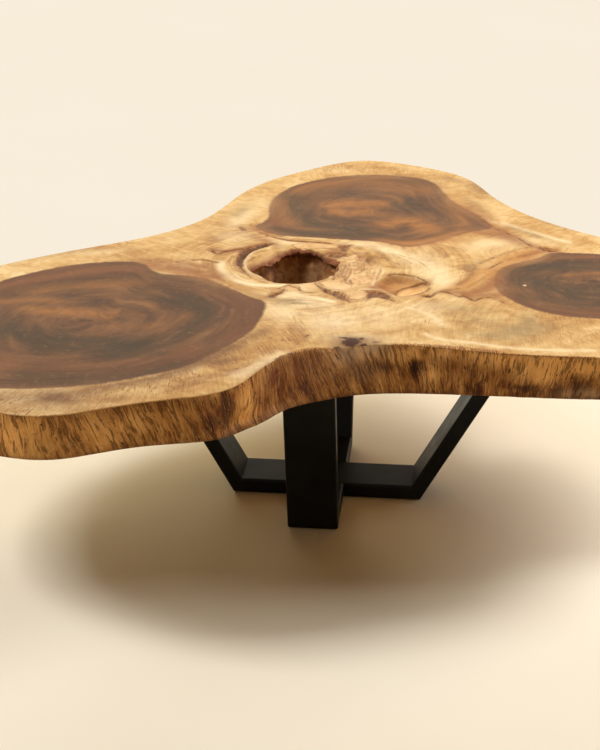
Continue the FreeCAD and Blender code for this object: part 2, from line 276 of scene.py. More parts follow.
STROKES["pale"] = [
    (10, 1.0, [(-214, 26), (-204, -18), (-184, -52), (-150, -80), (-114, -90), (-74, -84)]),
    (6, 1.0, [(-150, 112), (-163, 82), (-168, 46), (-160, 18), (-146, -8)]),
    (9, 1.0, [(-80, -140), (-55, -129), (-30, -138), (-2, -148), (28, -161)]),
    (3, 0.9, [(88, -92), (108, -84), (130, -88), (142, -112)]),
    (4, 0.7, [(-178, -34), (-160, -58), (-136, -72)]),
    (6, 0.8, [(212, -304), (248, -328), (301, -337), (354, -352), (430, -358), (520, -352)]),
    (9, 0.7, [(174, -176), (219, -210), (242, -255)]),
    (7, 0.8, [(352, 322), (390, 290), (440, 250), (490, 215)]),
    (5, 0.6, [(-60, -200), (-20, -225), (30, -235)]),
    (16, 0.6, [(-108, -525), (-92, -500), (-68, -464), (-42, -424)]),
]
STROKES["tan"] = [
    (32, 1.0, [(-372, 10), (-330, -6), (-290, -16), (-250, -32), (-216, -54)]),
    (16, 0.9, [(-350, 18), (-310, 14), (-270, 10), (-236, -4)]),
    (12, 0.9, [(-240, 22), (-228, -10), (-214, -40)]),
    (13, 1.0, [(-244, 98), (-207, 92), (-185, 108), (-157, 127), (-134, 144)]),
    (5, 0.8, [(-169, 231), (-140, 199), (-96, 173), (-55, 167), (-4, 159)]),
    (16, 0.7, [(-170, 236), (-140, 218), (-110, 200)]),
    (8, 1.0, [(-136, 138), (-163, 114), (-176, 72), (-174, 10), (-160, -24)]),
    (14, 0.6, [(-160, -115), (-130, -138), (-104, -150)]),
    (14, 0.7, [(-165, 186), (-136, 160), (-108, 134)]),
    (9, 0.55, [(-146, -8), (-134, -34), (-112, -58), (-84, -74)]),
    (24, 0.9, [(291, 340), (318, 305), (361, 242), (389, 203)]),
    (16, 0.6, [(270, 420), (300, 385), (322, 340)]),
    (10, 0.8, [(247, -86), (274, -92), (290, -102)]),
    (17, 1.0, [(280, -94), (296, -104), (318, -98), (344, -98)]),
    (20, 1.0, [(300, -92), (325, -60), (340, -20)]),
    (20, 0.8, [(280, 290), (313, 264), (349, 238), (385, 212), (410, 188)]),
    (12, 0.9, [(463, 164), (424, 152), (396, 124)]),
    (7, 0.8, [(274, 39), (292, 20), (283, -23), (269, -45)]),
    (12, 0.7, [(54, 84), (78, 92), (98, 68)]),
    (16, 1.0, [(104, -76), (118, -44), (132, -8)]),
    (10, 0.8, [(-8, 92), (6, 118), (30, 142)]),
    (12, 0.6, [(-60, -100), (-84, -130)]),
]
STROKES["fan"] = [
    (20, 0.9, [(266, -77), (306, -21), (347, 57), (389, 127), (440, 172)]),
    (18, 0.8, [(250, -80), (292, -20), (322, 40), (368, 112), (412, 160)]),
    (12, 0.9, [(340, 60), (372, 96), (404, 122), (430, 150)]),
    (18, 0.9, [(289, -95), (325, -50), (336, 3), (346, 60)]),
]
STROKES["dull"] = [
    (34, 0.75, [
        (-735, -470), (-690, -580), (-610, -635), (-520, -652), (-450, -652), (-400, -645),
        (-350, -612),
    ]),
    (20, 0.85, [
        (-345, -603), (-300, -583), (-256, -556), (-210, -513), (-180, -474), (-158, -437),
        (-133, -396),
    ]),
    (16, 0.6, [(-133, -396), (-108, -352), (-84, -320)]),
    (22, 0.4, [(-690, -40), (-600, 30), (-500, 80)]),
]
STROKES["creep"] = [
    (17, 1.0, [(130, -378), (180, -369), (218, -367), (260, -370), (310, -377), (350, -384)]),
    (8, 0.8, [(-46, -446), (-30, -427), (0, -398), (40, -384)]),
    (7, 0.8, [(350, -384), (420, -387), (520, -386)]),
    (7, 0.5, [(-420, -728), (-330, -692), (-250, -656), (-184, -624)]),
]
PATCHES["dull"] = [
    (92, -352, 50, 24, 0, 0.6), (-412, -650, 62, 38, 0, 1.15), (-150, -470, 30, 18, 26, 0.75),
    (-430, -688, 150, 34, 0, 0.46), (-320, -650, 60, 24, 24, 0.36), (-190, -560, 100, 22, 34, 0.3),
    (-600, -650, 90, 26, -30, 0.5), (200, 560, 22, 40, 25, 0.4), (300, 545, 26, 60, 25, 0.6),
    (240, 600, 40, 14, -35, 0.5), (-740, -420, 30, 120, 10, 0.45), (290, 430, 18, 60, 25, 0.45),
]
PATCHES["pepper"] = [
    (-120, -440, 90, 90, 30, 1.0), (-260, -590, 140, 60, 30, 1.0), (-480, -690, 220, 60, 0, 1.0),
    (-40, -360, 70, 70, 0, 0.9), (-680, -580, 110, 110, 0, 1.0), (-560, 60, 160, 40, 24, 0.6),
    (460, -280, 60, 60, 0, 0.7), (330, 420, 50, 120, 20, 0.6), (60, 660, 200, 40, 0, 0.5),
    (-260, 240, 80, 120, 0, 0.5), (-20, -250, 40, 60, 0, 0.6),
]
# Grey-olive stains, and at (-58, -164) and (-38, -176) a painted shadow under the pale tongue before the
# hole
PATCHES["stain_and_shadow"] = [
    (320, -232, 90, 40, -24, 0.45), (388, -269, 60, 34, 24, 1.0), (285, -172, 64, 24, -10, 0.5),
    (406, -229, 24, 50, 8, 0.8), (340, -300, 70, 20, -10, 0.8), (-212, 340, 18, 56, -16, 0.7),
    (420, 250, 90, 12, -45, 0.7), (-58, -164, 28, 9, 10, 0.9), (-90, -152, 12, 12, 0, 0.6),
    (-38, -176, 40, 8, -6, 0.9), (84, -350, 40, 24, 0, 0.6), (290, 46, 12, 24, 10, 0.7),
    (306, 82, 10, 16, 0, 0.6), (244, -88, 14, 8, 0, 0.8), (-60, -190, 40, 14, 10, 0.4),
    (470, 330, 60, 20, -40, 0.6),
]
STROKES["gold"] = [
    (20, 0.8, [(-544, -259), (-488, -263), (-432, -262), (-390, -274)]),
    (16, 0.5, [(-660, -236), (-608, -226), (-555, -210), (-499, -210)]),
    (22, 0.25, [(-390, -290), (-368, -313), (-313, -317), (-262, -293), (-238, -262)]),
    (26, 0.35, [(-560, -170), (-460, -120), (-360, -100)]),
    (26, 0.9, [(-24, 400), (6, 413), (54, 421), (84, 413)]),
    (24, 0.8, [(-10, 362), (27, 352), (63, 370)]),
    (28, 1.0, [(112, 289), (144, 312), (181, 289), (198, 264)]),
    (20, 1.0, [(100, 176), (150, 172), (200, 190), (240, 222), (268, 250)]),
    (40, 0.5, [(-90, 500), (-68, 522), (16, 563), (98, 558), (170, 520)]),
    (26, 0.4, [(-135, 420), (-125, 340), (-100, 280)]),
    (30, 0.35, [(230, 440), (256, 380), (266, 300)]),
    (16, 0.5, [(360, 60), (400, 100), (430, 124)]),
    (9, 0.5, [(483, 23), (522, 37), (560, 38)]),
]
STROKES["rust"] = [
    (36, 0.6, [(-640, -480), (-538, -518), (-466, -530), (-361, -534), (-265, -491), (-205, -433)]),
    (30, 0.7, [(-640, -150), (-605, -129), (-546, -81), (-457, -40), (-383, -22)]),
    (28, 0.45, [(-183, -128), (-136, -203), (-119, -279), (-138, -355)]),
    (24, 0.2, [(-477, -314), (-419, -327), (-375, -351)]),
    (16, 0.9, [(-147, 398), (-142, 319), (-120, 259), (-90, 220)]),
    (14, 0.9, [(351, 4), (352, -58), (378, -115), (420, -150)]),
    (20, 0.5, [(425, -151), (479, -165), (540, -168), (600, -150)]),
    (18, 0.4, [(420, 100), (470, 130), (540, 130)]),
]
STROKES["slate"] = [
    (46, 1.0, [
        (-640, -340), (-565, -368), (-514, -388), (-457, -402), (-402, -408), (-349, -410),
        (-296, -408),
    ]),
    (28, 0.8, [
        (-296, -408), (-259, -398), (-225, -345), (-205, -287), (-204, -239), (-225, -197),
        (-258, -176),
    ]),
    (22, 0.5, [(-359, -156), (-302, -160), (-262, -176)]),
    (20, 0.7, [(-355, -456), (-306, -456), (-257, -438)]),
    (28, 0.9, [(-113, 434), (-94, 355), (-57, 296), (-2, 258), (55, 246)]),
    (24, 0.6, [(104, 400), (133, 426), (166, 390)]),
    (20, 0.9, [(-123, 236), (-60, 222), (17, 216), (93, 222)]),
    (26, 0.3, [(202, 432), (241, 357), (255, 285)]),
    (30, 0.9, [(389, 56), (446, 72), (523, 75), (600, 60)]),
    (44, 0.9, [(400, -10), (426, -19), (482, -55), (544, -59)]),
    (40, 0.6, [(400, -110), (460, -120), (540, -120)]),
    (40, 0.8, [(-480, -560), (-380, -570), (-290, -545), (-230, -500)]),
]
PATCHES["melt"] = [
    (235, 195, 90, 50, 24, 1.0), (292, 262, 30, 40, 0, 0.6), (345, -20, 22, 90, 0, 0.8),
    (400, 110, 50, 24, 40, 0.8), (-290, -20, 70, 30, -24, 1.0), (-140, 230, 40, 26, -20, 0.8),
    (-300, -600, 200, 30, 14, 0.3), (264, 430, 40, 110, 25, 0.8), (60, 612, 160, 24, 0, 0.5),
    (-150, 400, 20, 80, 0, 0.5), (-230, -80, 60, 30, -30, 0.7), (400, 108, 40, 30, 40, 0.9),
]
PATCHES["lining"] = [
    (122, -66, 18, 46, 0, 1.0), (140, -96, 16, 20, 0, 0.9), (150, -14, 30, 14, -30, 0.5),
    (206, -40, 8, 18, -10, 0.9), (134, 14, 12, 10, 0, 0.5),
]
# Thin pale rims of broken wood, partly painted highlights where the burl's ridges catch the light
STROKES["pale_rim_and_highlight"] = [
    (1.6, 1.0, [(80, -88), (103, -90), (121, -92), (134, -108)]),
    (2.0, 1.0, [(106, 56), (104, 34), (101, -9), (100, -44), (99, -58)]),
    (2.2, 0.9, [(13, 43), (18, 26)]),
    (2.0, 0.8, [(54, -12), (49, -42)]),
    (1.6, 0.7, [(40, 17), (37, -15)]),
    (1.4, 0.7, [(62, -100), (62, -140)]),
    (1.4, 0.6, [(-16, -50), (2, -98)]),
]
PATCHES["knot"] = [
    (80, -352, 22, 20, 0, 1.0), (104, -362, 10, 8, 0, 1.0), (62, -338, 9, 6, 0, 1.0),
    (126, -352, 6, 6, 0, 1.0), (56, -374, 9, 6, 0, 1.0), (98, -338, 6, 5, 0, 1.0),
]
PATCHES["chip"] = [
    (398, -40, 5, 8, 0, 1.0), (43, 544, 2, 14, 0, 1.0), (-95, -105, 2, 5, 0, 1.0),
    (455, 152, 3, 7, 0, 1.0),
]

# Crisp lines as half width and points, and crisp patches as outlines
GROOVE = [
    (7.0, [(-136, 137), (-150, 122), (-165, 102), (-173, 76), (-177, 48), (-174, 20)]),
    (2.0, [(-174, 22), (-166, 2), (-154, -20), (-142, -44)]),
]
SEAMS = GROOVE + [
    (1.6, [(-182, 258), (-172, 236), (-160, 216), (-140, 198), (-118, 182)]),
    (1.7, [(-118, 182), (-96, 172), (-76, 166), (-55, 166), (-30, 164), (-4, 160)]),
    (3.0, [(-150, 122), (-174, 110), (-190, 108), (-199, 100), (-214, 90), (-227, 76), (-240, 90)]),
    (5.0, [(-199, 241), (-190, 224)]),
    (2.4, [(-241, 108), (-239, 95)]),
    (2.0, [(16, 66), (15, 30), (19, -10), (21, -44)]),
    (1.8, [(-14, -66), (-2, -90), (8, -108), (20, -122)]),
    (1.6, [(-60, -80), (-70, -94), (-72, -112), (-80, -128), (-90, -136)]),
    (1.4, [(-58, -90), (-46, -96), (-38, -110), (-22, -118), (-6, -118)]),
    (1.6, [(146, -88), (148, -106), (158, -118), (180, -112), (204, -92), (212, -70)]),
    (1.6, [(146, -90), (152, -66), (170, -48), (196, -40), (212, -52)]),
    (1.8, [(124, 10), (134, 21), (156, 13), (176, -4), (196, -26), (212, -50)]),
    (1.6, [(228, -98), (236, -88), (252, -78), (270, -68)]),
    (1.4, [(308, 75), (346, 123), (381, 160), (409, 180)]),
    (1.3, [(326, 44), (352, 86), (384, 118), (420, 142)]),
    (2.4, [(284, 372), (299, 347), (322, 306), (353, 268), (381, 235), (413, 186)]),
    (2.2, [(413, 186), (444, 166), (465, 160)]),
    (1.2, [(302, -138), (302, -148)]),
    (1.8, [
        (200, -114), (215, -117), (227, -93), (236, -88), (248, -93), (259, -100), (271, -112),
        (278, -106),
    ]),
    (2.2, [(278, -106), (289, -117), (301, -131), (311, -117), (328, -109), (344, -119), (367, -142)]),
    (1.8, [(-359, 23), (-341, 34), (-321, 32), (-300, 24), (-282, 33), (-260, 39), (-240, 35), (-219, 26)]),
    (1.5, [(-22, -372), (-12, -352), (-2, -330)]),
    (1.4, [(-206, -560), (-190, -546), (-176, -536)]),
    (1.4, [(-120, -500), (-104, -488), (-92, -470)]),
]
FIGURE = [
    (6.0, [(44, 100), (60, 106), (76, 110)]), (5.0, [(82, 82), (90, 97), (104, 92)]),
    (1.4, [(25, 52), (24, 16), (25, -16), (32, -33)]), (1.0, [(30, 56), (30, 20), (31, -9), (37, -33)]),
    (1.4, [(38, 49), (36, 20), (35, -1), (36, -22)]), (1.0, [(44, 43), (43, 14), (41, -8), (39, -29)]),
    (1.8, [(52, 32), (50, 4), (47, -21), (44, -41)]), (1.4, [(110, 49), (108, 24), (105, -8), (103, -43)]),
    (3.0, [(52, -36), (64, -54)]), (2.0, [(88, 47), (92, 44)]), (2.0, [(96, 20), (99, 17)]),
    (0.8, [(108, 96), (130, 80), (150, 58)]), (0.7, [(120, 110), (150, 90), (172, 60)]),
    (0.8, [(96, 120), (140, 108), (186, 70), (212, 20)]), (0.7, [(-40, -160), (-70, -176), (-84, -190)]),
    (0.7, [(-30, -168), (-56, -186), (-66, -204)]), (0.8, [(276, 20), (272, -10), (268, -40)]),
    (0.8, [(300, 60), (294, 30), (296, 0)]), (0.7, [(-190, 60), (-186, 20), (-172, -20)]),
    (0.7, [(-196, 70), (-196, 30), (-184, -10)]), (0.8, [(352, 110), (376, 136), (396, 150)]),
    (0.7, [(-110, 190), (-80, 178), (-40, 180)]), (0.8, [(112, -64), (126, -36), (150, -18)]),
    (0.8, [(120, -86), (140, -54), (170, -34)]), (0.8, [(106, -80), (116, -50), (130, -24)]),
    (0.8, [(284, -66), (310, -20), (340, 40)]), (0.8, [(296, -74), (318, -34), (334, 0)]),
    (0.7, [(262, -60), (284, -10), (306, 36)]), (0.7, [(280, 62), (288, 40), (282, 14)]),
    (0.7, [(294, 70), (300, 46), (290, 24)]), (0.7, [(-230, 30), (-226, 0), (-212, -30)]),
]
BARK = [
    [(-102, -152), (-94, -132), (-77, -119), (-73, -130), (-85, -152)],
    [(-5, -74), (11, -100), (39, -106), (56, -130), (65, -164), (45, -151), (26, -129), (6, -108)],
    [
        (89, -97), (107, -98), (131, -106), (140, -124), (148, -150), (127, -138), (112, -130),
        (102, -134), (95, -152),
    ],
    [(196, -112), (212, -106), (222, -112), (215, -122), (204, -120)],
    [(14, 150), (43, 157), (38, 134), (34, 112), (22, 118)],
    [(-10, 104), (10, 112), (34, 104), (40, 90), (24, 80), (2, 88)],
    [(426, 186), (446, 180), (463, 160), (452, 152), (434, 160), (420, 176)],
    [
        (-185, 62), (-184, 100), (-168, 124), (-140, 146), (-118, 151), (-128, 133), (-150, 110),
        (-165, 84), (-170, 58),
    ],
]
BURL = [(16, 40), (23, 80), (51, 99), (90, 84), (106, 49), (104, -6), (88, -58), (46, -67), (24, -42)]
PLANKS = [
    [(-50, -60), (-16, -51), (0, -99), (-18, -108), (-35, -85)],
    [(-7, -61), (16, -48), (60, -71), (61, -100), (38, -98), (14, -96)],
    [(58, -100), (89, -97), (94, -129), (77, -146), (61, -144)],
    [(-82, -103), (-66, -81), (-45, -83), (-39, -107), (-56, -116)],
    [(-83, 143), (-59, 156), (-21, 158), (18, 148), (13, 134), (-37, 129), (-69, 128)],
]
SCOOP = [
    (103, -64), (108, -22), (121, 8), (133, 20), (156, 12), (190, -20), (212, -54), (205, -86),
    (178, -114), (150, -120), (126, -98),
]
SCOOP_FLOOR = [
    (149, -92), (152, -70), (168, -52), (196, -42), (209, -54), (204, -82), (178, -106), (156, -110),
]

# What the live edge shows: x, y, z, half width, half height, strength
EDGE_SPOTS = {}
EDGE_SPOTS["edge_dark"] = [
    (-141, -582, 419, 30, 38, 1.5), (-175, -600, 400, 20, 40, 0.6), (12, -437, 389, 60, 22, 0.5),
    (103, -385, 400, 26, 28, 0.9), (146, -375, 414, 14, 9, 1.3), (202, -374, 411, 17, 20, 1.8),
    (300, -379, 380, 60, 14, 0.5), (383, -385, 390, 34, 10, 0.8), (424, -386, 384, 50, 11, 0.9),
    (486, -386, 394, 26, 16, 0.7), (491, -386, 417, 16, 10, 1.2), (526, -384, 392, 50, 16, 0.6),
    (398, -386, 434, 9, 8, 0.9), (-394, -714, 382, 20, 14, 0.6), (218, -366, 441, 10, 8, 1.0),
    (-70, -500, 396, 40, 24, 0.5), (80, -378, 436, 20, 12, 1.2), (-146, -602, 388, 26, 20, 0.8),
]
EDGE_SPOTS["edge_gold"] = [
    (323, -379, 438, 40, 12, 1.0), (360, -383, 437, 40, 13, 1.3), (434, -386, 430, 46, 18, 1.8),
    (470, -386, 430, 40, 16, 1.4), (512, -385, 436, 40, 14, 1.5), (570, -384, 434, 50, 16, 1.3),
    (-438, -729, 412, 80, 30, 0.8), (-600, -700, 410, 80, 34, 0.9), (-247, -642, 412, 60, 24, 0.7),
    (-99, -548, 405, 22, 36, 1.2), (235, -376, 402, 14, 26, 1.0), (170, -372, 434, 26, 14, 0.8),
    (-93, -547, 385, 30, 14, 0.6), (-330, -690, 420, 60, 24, 0.6), (-484, -721, 398, 36, 40, 0.8),
    (-425, -726, 437, 26, 14, 0.7), (-315, -688, 384, 30, 20, 0.8), (428, -380, 410, 40, 14, 1.0),
    (112, -373, 438, 22, 13, 1.5), (252, -369, 438, 30, 10, 0.9), (205, -368, 436, 26, 9, 0.7),
]
EDGE_SPOTS["edge_red"] = [
    (-40, -440, 436, 20, 14, 1.0), (-10, -411, 432, 15, 15, 1.3), (22, -392, 438, 13, 10, 1.3),
    (32, -402, 418, 26, 16, 0.8), (-54, -470, 425, 34, 24, 0.9), (270, -372, 426, 60, 18, 0.7),
    (-20, -446, 400, 80, 30, 0.8), (-141, -582, 424, 30, 22, 0.6), (330, -380, 412, 60, 20, 0.5),
]
EDGE_SPOTS["edge_grey"] = [
    (88, -372, 440, 46, 18, 1.0), (103, -385, 410, 40, 20, 0.25), (510, -384, 376, 60, 13, 1.0),
    (128, -372, 443, 26, 9, 1.0),
]
EDGE_HOLLOWS = [
    (205, -377, 408, 17, 20, 9.0), (234, -378, 398, 12, 30, -4.0), (130, -376, 416, 12, 8, 4.0),
    (489, -386, 410, 18, 14, 5.0), (396, -385, 431, 8, 8, 3.5), (-141, -582, 415, 28, 50, 5.0),
    (225, -366, 442, 10, 10, 4.0), (-99, -548, 405, 14, 40, -3.0), (40, -400, 400, 40, 30, -3.0),
    (-112, -600, 382, 46, 32, 5.0), (-82, -574, 370, 46, 32, 20.0), (-34, -500, 374, 44, 30, 13.0),
]


def edge_spots(points, patches):
    field = np.zeros(len(points))
    for x, y, z, wide, high, strength in patches:
        along = np.hypot(points[:, 0] - x, points[:, 1] - y) / wide
        field += strength * np.exp(-(along**2) - ((points[:, 2] - z) / high) ** 2)
    return field


# The slab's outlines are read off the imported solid
def solid_tree():
    mesh = frame["nodes"]["slab_top"].data
    corners = [vertex.co[:] for vertex in mesh.vertices]
    return BVHTree.FromPolygons(corners, [face.vertices[:] for face in mesh.polygons])


def reach(tree, angles, level, outermost):
    """How far the solid's rim, or its hole's wall, stands from the hole's middle at a level."""
    distances = []
    for angle in angles:
        ray = Vector((math.cos(angle), math.sin(angle), 0))
        middle = Vector((HOLE[0], HOLE[1], level)) * MM
        start = middle + ray * FAR_OUT * MM if outermost else middle
        hit = tree.ray_cast(start, -ray if outermost else ray)[0]
        distances.append((hit - middle).length / MM)
    return np.array(distances)


def ring(angles, radii):
    return HOLE + radii[:, None] * np.stack([np.cos(angles), np.sin(angles)], axis=1)


def even_angles(radii, angles, step):
    """Angles that divide an outline into equal steps, and its length."""
    loop = ring(angles, radii)
    runs = np.linalg.norm(np.roll(loop, -1, axis=0) - loop, axis=1)
    length = np.concatenate([[0], np.cumsum(runs)])
    count = round(length[-1] / step)
    even = np.arange(count) * length[-1] / count
    return np.interp(even, length, np.append(angles, angles[0] + 2 * math.pi)), length[-1]


def outward(loop):
    chord = np.roll(loop, -1, axis=0) - np.roll(loop, 1, axis=0)
    normal = np.stack([chord[:, 1], -chord[:, 0]], axis=1)
    return normal / np.linalg.norm(normal, axis=1)[:, None]


def with_level(loop, level):
    return np.concatenate([loop, np.broadcast_to(level, (len(loop),))[:, None]], axis=1)


def fibre_lean(xy):
    """How far the fibres of the live edge lean over, sideways for each step down."""
    return 0.14 + 0.28 * smooth(-450, -330, xy[:, 0]) - 0.62 * smooth(40, 330, xy[:, 0])


def top_relief(xy):
    """How far the top lies below its level: its weathered middle, its seams and the worn edge."""
    x, y, wide, deep = TROUGH
    trough = TROUGH_DEPTH * unit(1 - ((xy[:, 0] - x) / wide) ** 2 - ((xy[:, 1] - y) / deep) ** 2)
    scoop = SCOOP_DEPTH * smooth(4, -26, shape_distance(xy, SCOOP))
    ledge = LEDGE_DEPTH * smooth(3, -6, shape_distance(xy, SCOOP_FLOOR))
    groove = GROOVE_DEPTH * smooth(3, -4, seam_distance(xy, GROOVE))
    cracks = CRACK_DEPTH * smooth(2, -1.5, seam_distance(xy, SEAMS))
    torn = TORN_DEPTH * smooth(3, -5, patch_distance(xy, BARK))
    lip = LIP_DROP * smooth(112, 84, np.linalg.norm(xy - HOLE, axis=1))
    place = with_level(xy, 0.0)
    rough = value_noise(place, (13, 24, 1), 3) + 0.6 * value_noise(place, (6, 9, 1), 4)
    broken = smooth(4, -10, shape_distance(xy, BURL)) * (CRAG_DEPTH * rough + 1.0)
    roll = ROLL_DEPTH * spot(xy, *ROLLED_EDGE)
    return trough + scoop + ledge + groove + cracks + torn + lip + broken + roll


def edge_relief(points, fibre):
    """How far the live edge stands out: ridges along its fibres and a few hollows."""
    ridge = 0.6 * value_noise(fibre, (11, 11, 90), 11) + 0.4 * value_noise(fibre, (5, 5, 45), 12)
    waves = value_noise(points, (85, 85, 60), 13)
    return WAVE_DEPTH * waves + RIDGE_DEPTH * ridge - edge_spots(points, EDGE_HOLLOWS), ridge


def sound_depth(xy):
    """How deep the sound wood goes at the hole's edge: most at the rear left."""
    return 6 + 15 * spot(xy, *REAR_LEFT_LIP) + 6 * spot(xy, *REAR_LIP) + 9 * spot(xy, *LEFT_LIP)


def hole_relief(points, depth):
    """How far the hole's wall stands back: a sound lip that leans in, and eaten, lumpy wood under it."""
    xy = points[:, :2]
    frayed = 4 * value_noise(points, (13, 13, 400), 25) + 2 * value_noise(points, (5, 5, 400), 26)
    lip = sound_depth(xy) + frayed
    under = smooth(lip, lip + 5, depth)
    lean = spot(xy, *REAR_LEFT_LIP) + 0.6 * spot(xy, *REAR_LIP)
    leaning = LIP_LEAN * np.minimum(depth, lip) * lean
    chips = value_noise(points, (17, 17, 40), 23) + value_noise(points, (8, 8, 30), 24)
    bitten = CHIP_DEPTH * chips * smooth(-150, -60, points[:, 0]) * smooth(60, 20, depth)
    lumps = value_noise(points, (30, 30, 22), 21) + 0.6 * value_noise(points, (13, 13, 10), 22)
    hollow = 13 * smooth(84, 46, depth) - 8 * smooth(46, 62, depth) * smooth(86, 74, depth)
    wall = hollow + LUMP_DEPTH * lumps * smooth(86, 74, depth)
    shelf = SHELF_DEPTH * spot(xy, *SHELF) * smooth(30, 12, depth)
    return bitten - leaning * (1 - under) + wall * under - shelf


def sink(rows, fades):
    """Rings near the top follow its relief, each one less than the ring before it."""
    for points, fade in zip(rows, fades):
        points[:, 2] -= fade * top_relief(points[:, :2])


def rim_levels():
    """The level of each ring of the rim, and how far its rounding sets it in."""
    turns = np.radians(np.linspace(0, 90, EASED_ROWS, endpoint=False))
    levels = [(TOP - EDGE_EASE * (1 - math.cos(t)), EDGE_EASE * (1 - math.sin(t))) for t in turns]
    levels += [(level, 0.0) for level in np.linspace(TOP - EDGE_EASE, UNDERSIDE + FOOT_EASE, SIDE_ROWS)]
    for t in turns + turns[1]:
        levels.append((UNDERSIDE + FOOT_EASE * (1 - math.sin(t)), FOOT_EASE * (1 - math.cos(t))))
    return levels


def rim_rings(tree):
    """Rings over the eased edge, down the live edge and under: their points, fibres and ridges."""
    angles = np.linspace(-math.pi, math.pi, RIM_RAYS, endpoint=False)
    middle = reach(tree, angles, (TOP + UNDERSIDE) / 2, True)
    angles, length = even_angles(middle, angles, RIM_STEP)
    upper = reach(tree, angles, TOP - RIM_INSET, True)
    lower = reach(tree, angles, UNDERSIDE + RIM_INSET, True)
    radius = length / (2 * math.pi)
    around = np.arange(len(angles)) * length / len(angles)
    rows = []
    for level, inset in rim_levels():
        share = (level - UNDERSIDE - RIM_INSET) / (THICKNESS - 2 * RIM_INSET)
        loop = ring(angles, lower + share * (upper - lower))
        phase = (around + fibre_lean(loop) * (level - TOP)) / radius
        fibre = with_level(radius * np.stack([np.cos(phase), np.sin(phase)], axis=1), level)
        relief, ridge = edge_relief(with_level(loop, level), fibre)
        relief *= smooth(TOP + 2, TOP - 9, level)
        relief *= 0.25 + 0.75 * smooth(UNDERSIDE - 2, UNDERSIDE + 8, level)
        points = with_level(loop + outward(loop) * (relief - inset)[:, None], level)
        rows.append((points, fibre, ridge))
    points, fibres, ridges = (np.array(part) for part in zip(*rows))
    sink(points, RIM_FADES)
    return points, fibres, ridges


def hole_rings(tree):
    """Rings of points from the underside, up the hole's wall and over its lip."""
    angles = np.linspace(-math.pi, math.pi, HOLE_RAYS, endpoint=False)
    angles = even_angles(reach(tree, angles, HOLE_LEVEL, False), angles, HOLE_STEP)[0]
    upper = reach(tree, angles, TOP - LIP_INSET, False)
    lower = reach(tree, angles, UNDERSIDE + RIM_INSET, False)
    rows = []
    for level in np.linspace(UNDERSIDE, TOP, HOLE_ROWS):
        share = (level - UNDERSIDE - RIM_INSET) / (THICKNESS - RIM_INSET - LIP_INSET)
        radii = lower + share * (upper - lower)
        relief = hole_relief(with_level(ring(angles, radii), level), TOP - level)
        eased = LIP_EASE * smooth(LIP_EASE + 5, 0, TOP - level)
        rows.append(with_level(ring(angles, radii + relief + eased), level))
    sink(rows[::-1], HOLE_FADES)
    return np.array(rows)


def scattered(rim, spacing):
    """Points spread evenly over a face's box."""
    low, high = rim.min(axis=0), rim.max(axis=0)
    lines = []
    for number, level in enumerate(np.arange(low[1], high[1], spacing * ROW_SHARE)):
        across = np.arange(low[0] + spacing / 2 * (number % 2), high[0], spacing)
        lines.append(np.stack([across, np.full(len(across), level)], axis=1))
    return np.concatenate(lines)


def in_fine_zone(points):
    x, y, wide, deep = FINE_ZONE
    return ((points[:, 0] - x) / wide) ** 2 + ((points[:, 1] - y) / deep) ** 2 < 1


def within_face(points, rim, hole, margin):
    """The points that lie on a face, clear of its edges."""
    points = points[inside(points, rim) & ~inside(points, hole)]
    points = points[line_distance(points, hole, closed=True) > margin]
    return points[line_distance(points, rim, closed=True) > margin]


def fill_face(rim, hole, inner, up):
    """Triangles of a face that looks up or down, from its rim, hole and points as (first index, places)."""
    starts, parts = zip(rim, hole, inner)
    corners = np.concatenate(parts)
    edges = []
    for first, loop in ((0, parts[0]), (len(parts[0]), parts[1])):
        edges += [(first + i, first + (i + 1) % len(loop)) for i in range(len(loop))]
    found = geometry.delaunay_2d_cdt([Vector(c) for c in corners], edges, [], 1, 1e-4, True)
    origin = np.array([ids[0] for ids in found[3]])
    triangles = origin[np.array(found[2])]
    middles = corners[triangles].mean(axis=1)
    triangles = triangles[inside(middles, parts[0]) & ~inside(middles, parts[1])]
    a, b, c = (corners[triangles[:, i]] for i in range(3))
    turn = (b - a)[:, 0] * (c - a)[:, 1] - (b - a)[:, 1] * (c - a)[:, 0]
    wrong = (turn > 0) != up
    triangles[wrong] = triangles[wrong][:, ::-1]
    names = np.concatenate([start + np.arange(len(part)) for start, part in zip(starts, parts)])
    return names[triangles]


def ring_quads(starts, count):
    """Quads between rings of points that start at the given indices."""
    column = np.arange(count)
    following = (column + 1) % count
    bands = []
    for a, b in zip(starts, starts[1:]):
        bands.append(np.stack([a + column, b + column, b + following, a + following], axis=1))
    return np.concatenate(bands)


# The slab's points: the rim, the hole's wall, the top and the underside
solid = solid_tree()
rim_rows, fibres, ridges = rim_rings(solid)
hole_rows = hole_rings(solid)
top_rim, top_hole = rim_rows[0, :, :2], hole_rows[-1, :, :2]
under_rim, under_hole = rim_rows[-1, :, :2], hole_rows[0, :, :2]
coarse = scattered(top_rim, COARSE_STEP)
fine = scattered(top_rim, FINE_STEP)
top_points = np.concatenate([coarse[~in_fine_zone(coarse)], fine[in_fine_zone(fine)]])
top_points = within_face(top_points, top_rim, top_hole, FINE_STEP * EDGE_MARGIN)
under_points = scattered(under_rim, UNDER_STEP)
under_points = within_face(under_points, under_rim, under_hole, UNDER_STEP * EDGE_MARGIN)
slab_points = np.concatenate([
    rim_rows.reshape(-1, 3),
    hole_rows.reshape(-1, 3),
    with_level(top_points, TOP - top_relief(top_points)),
    with_level(under_points, UNDERSIDE),
])

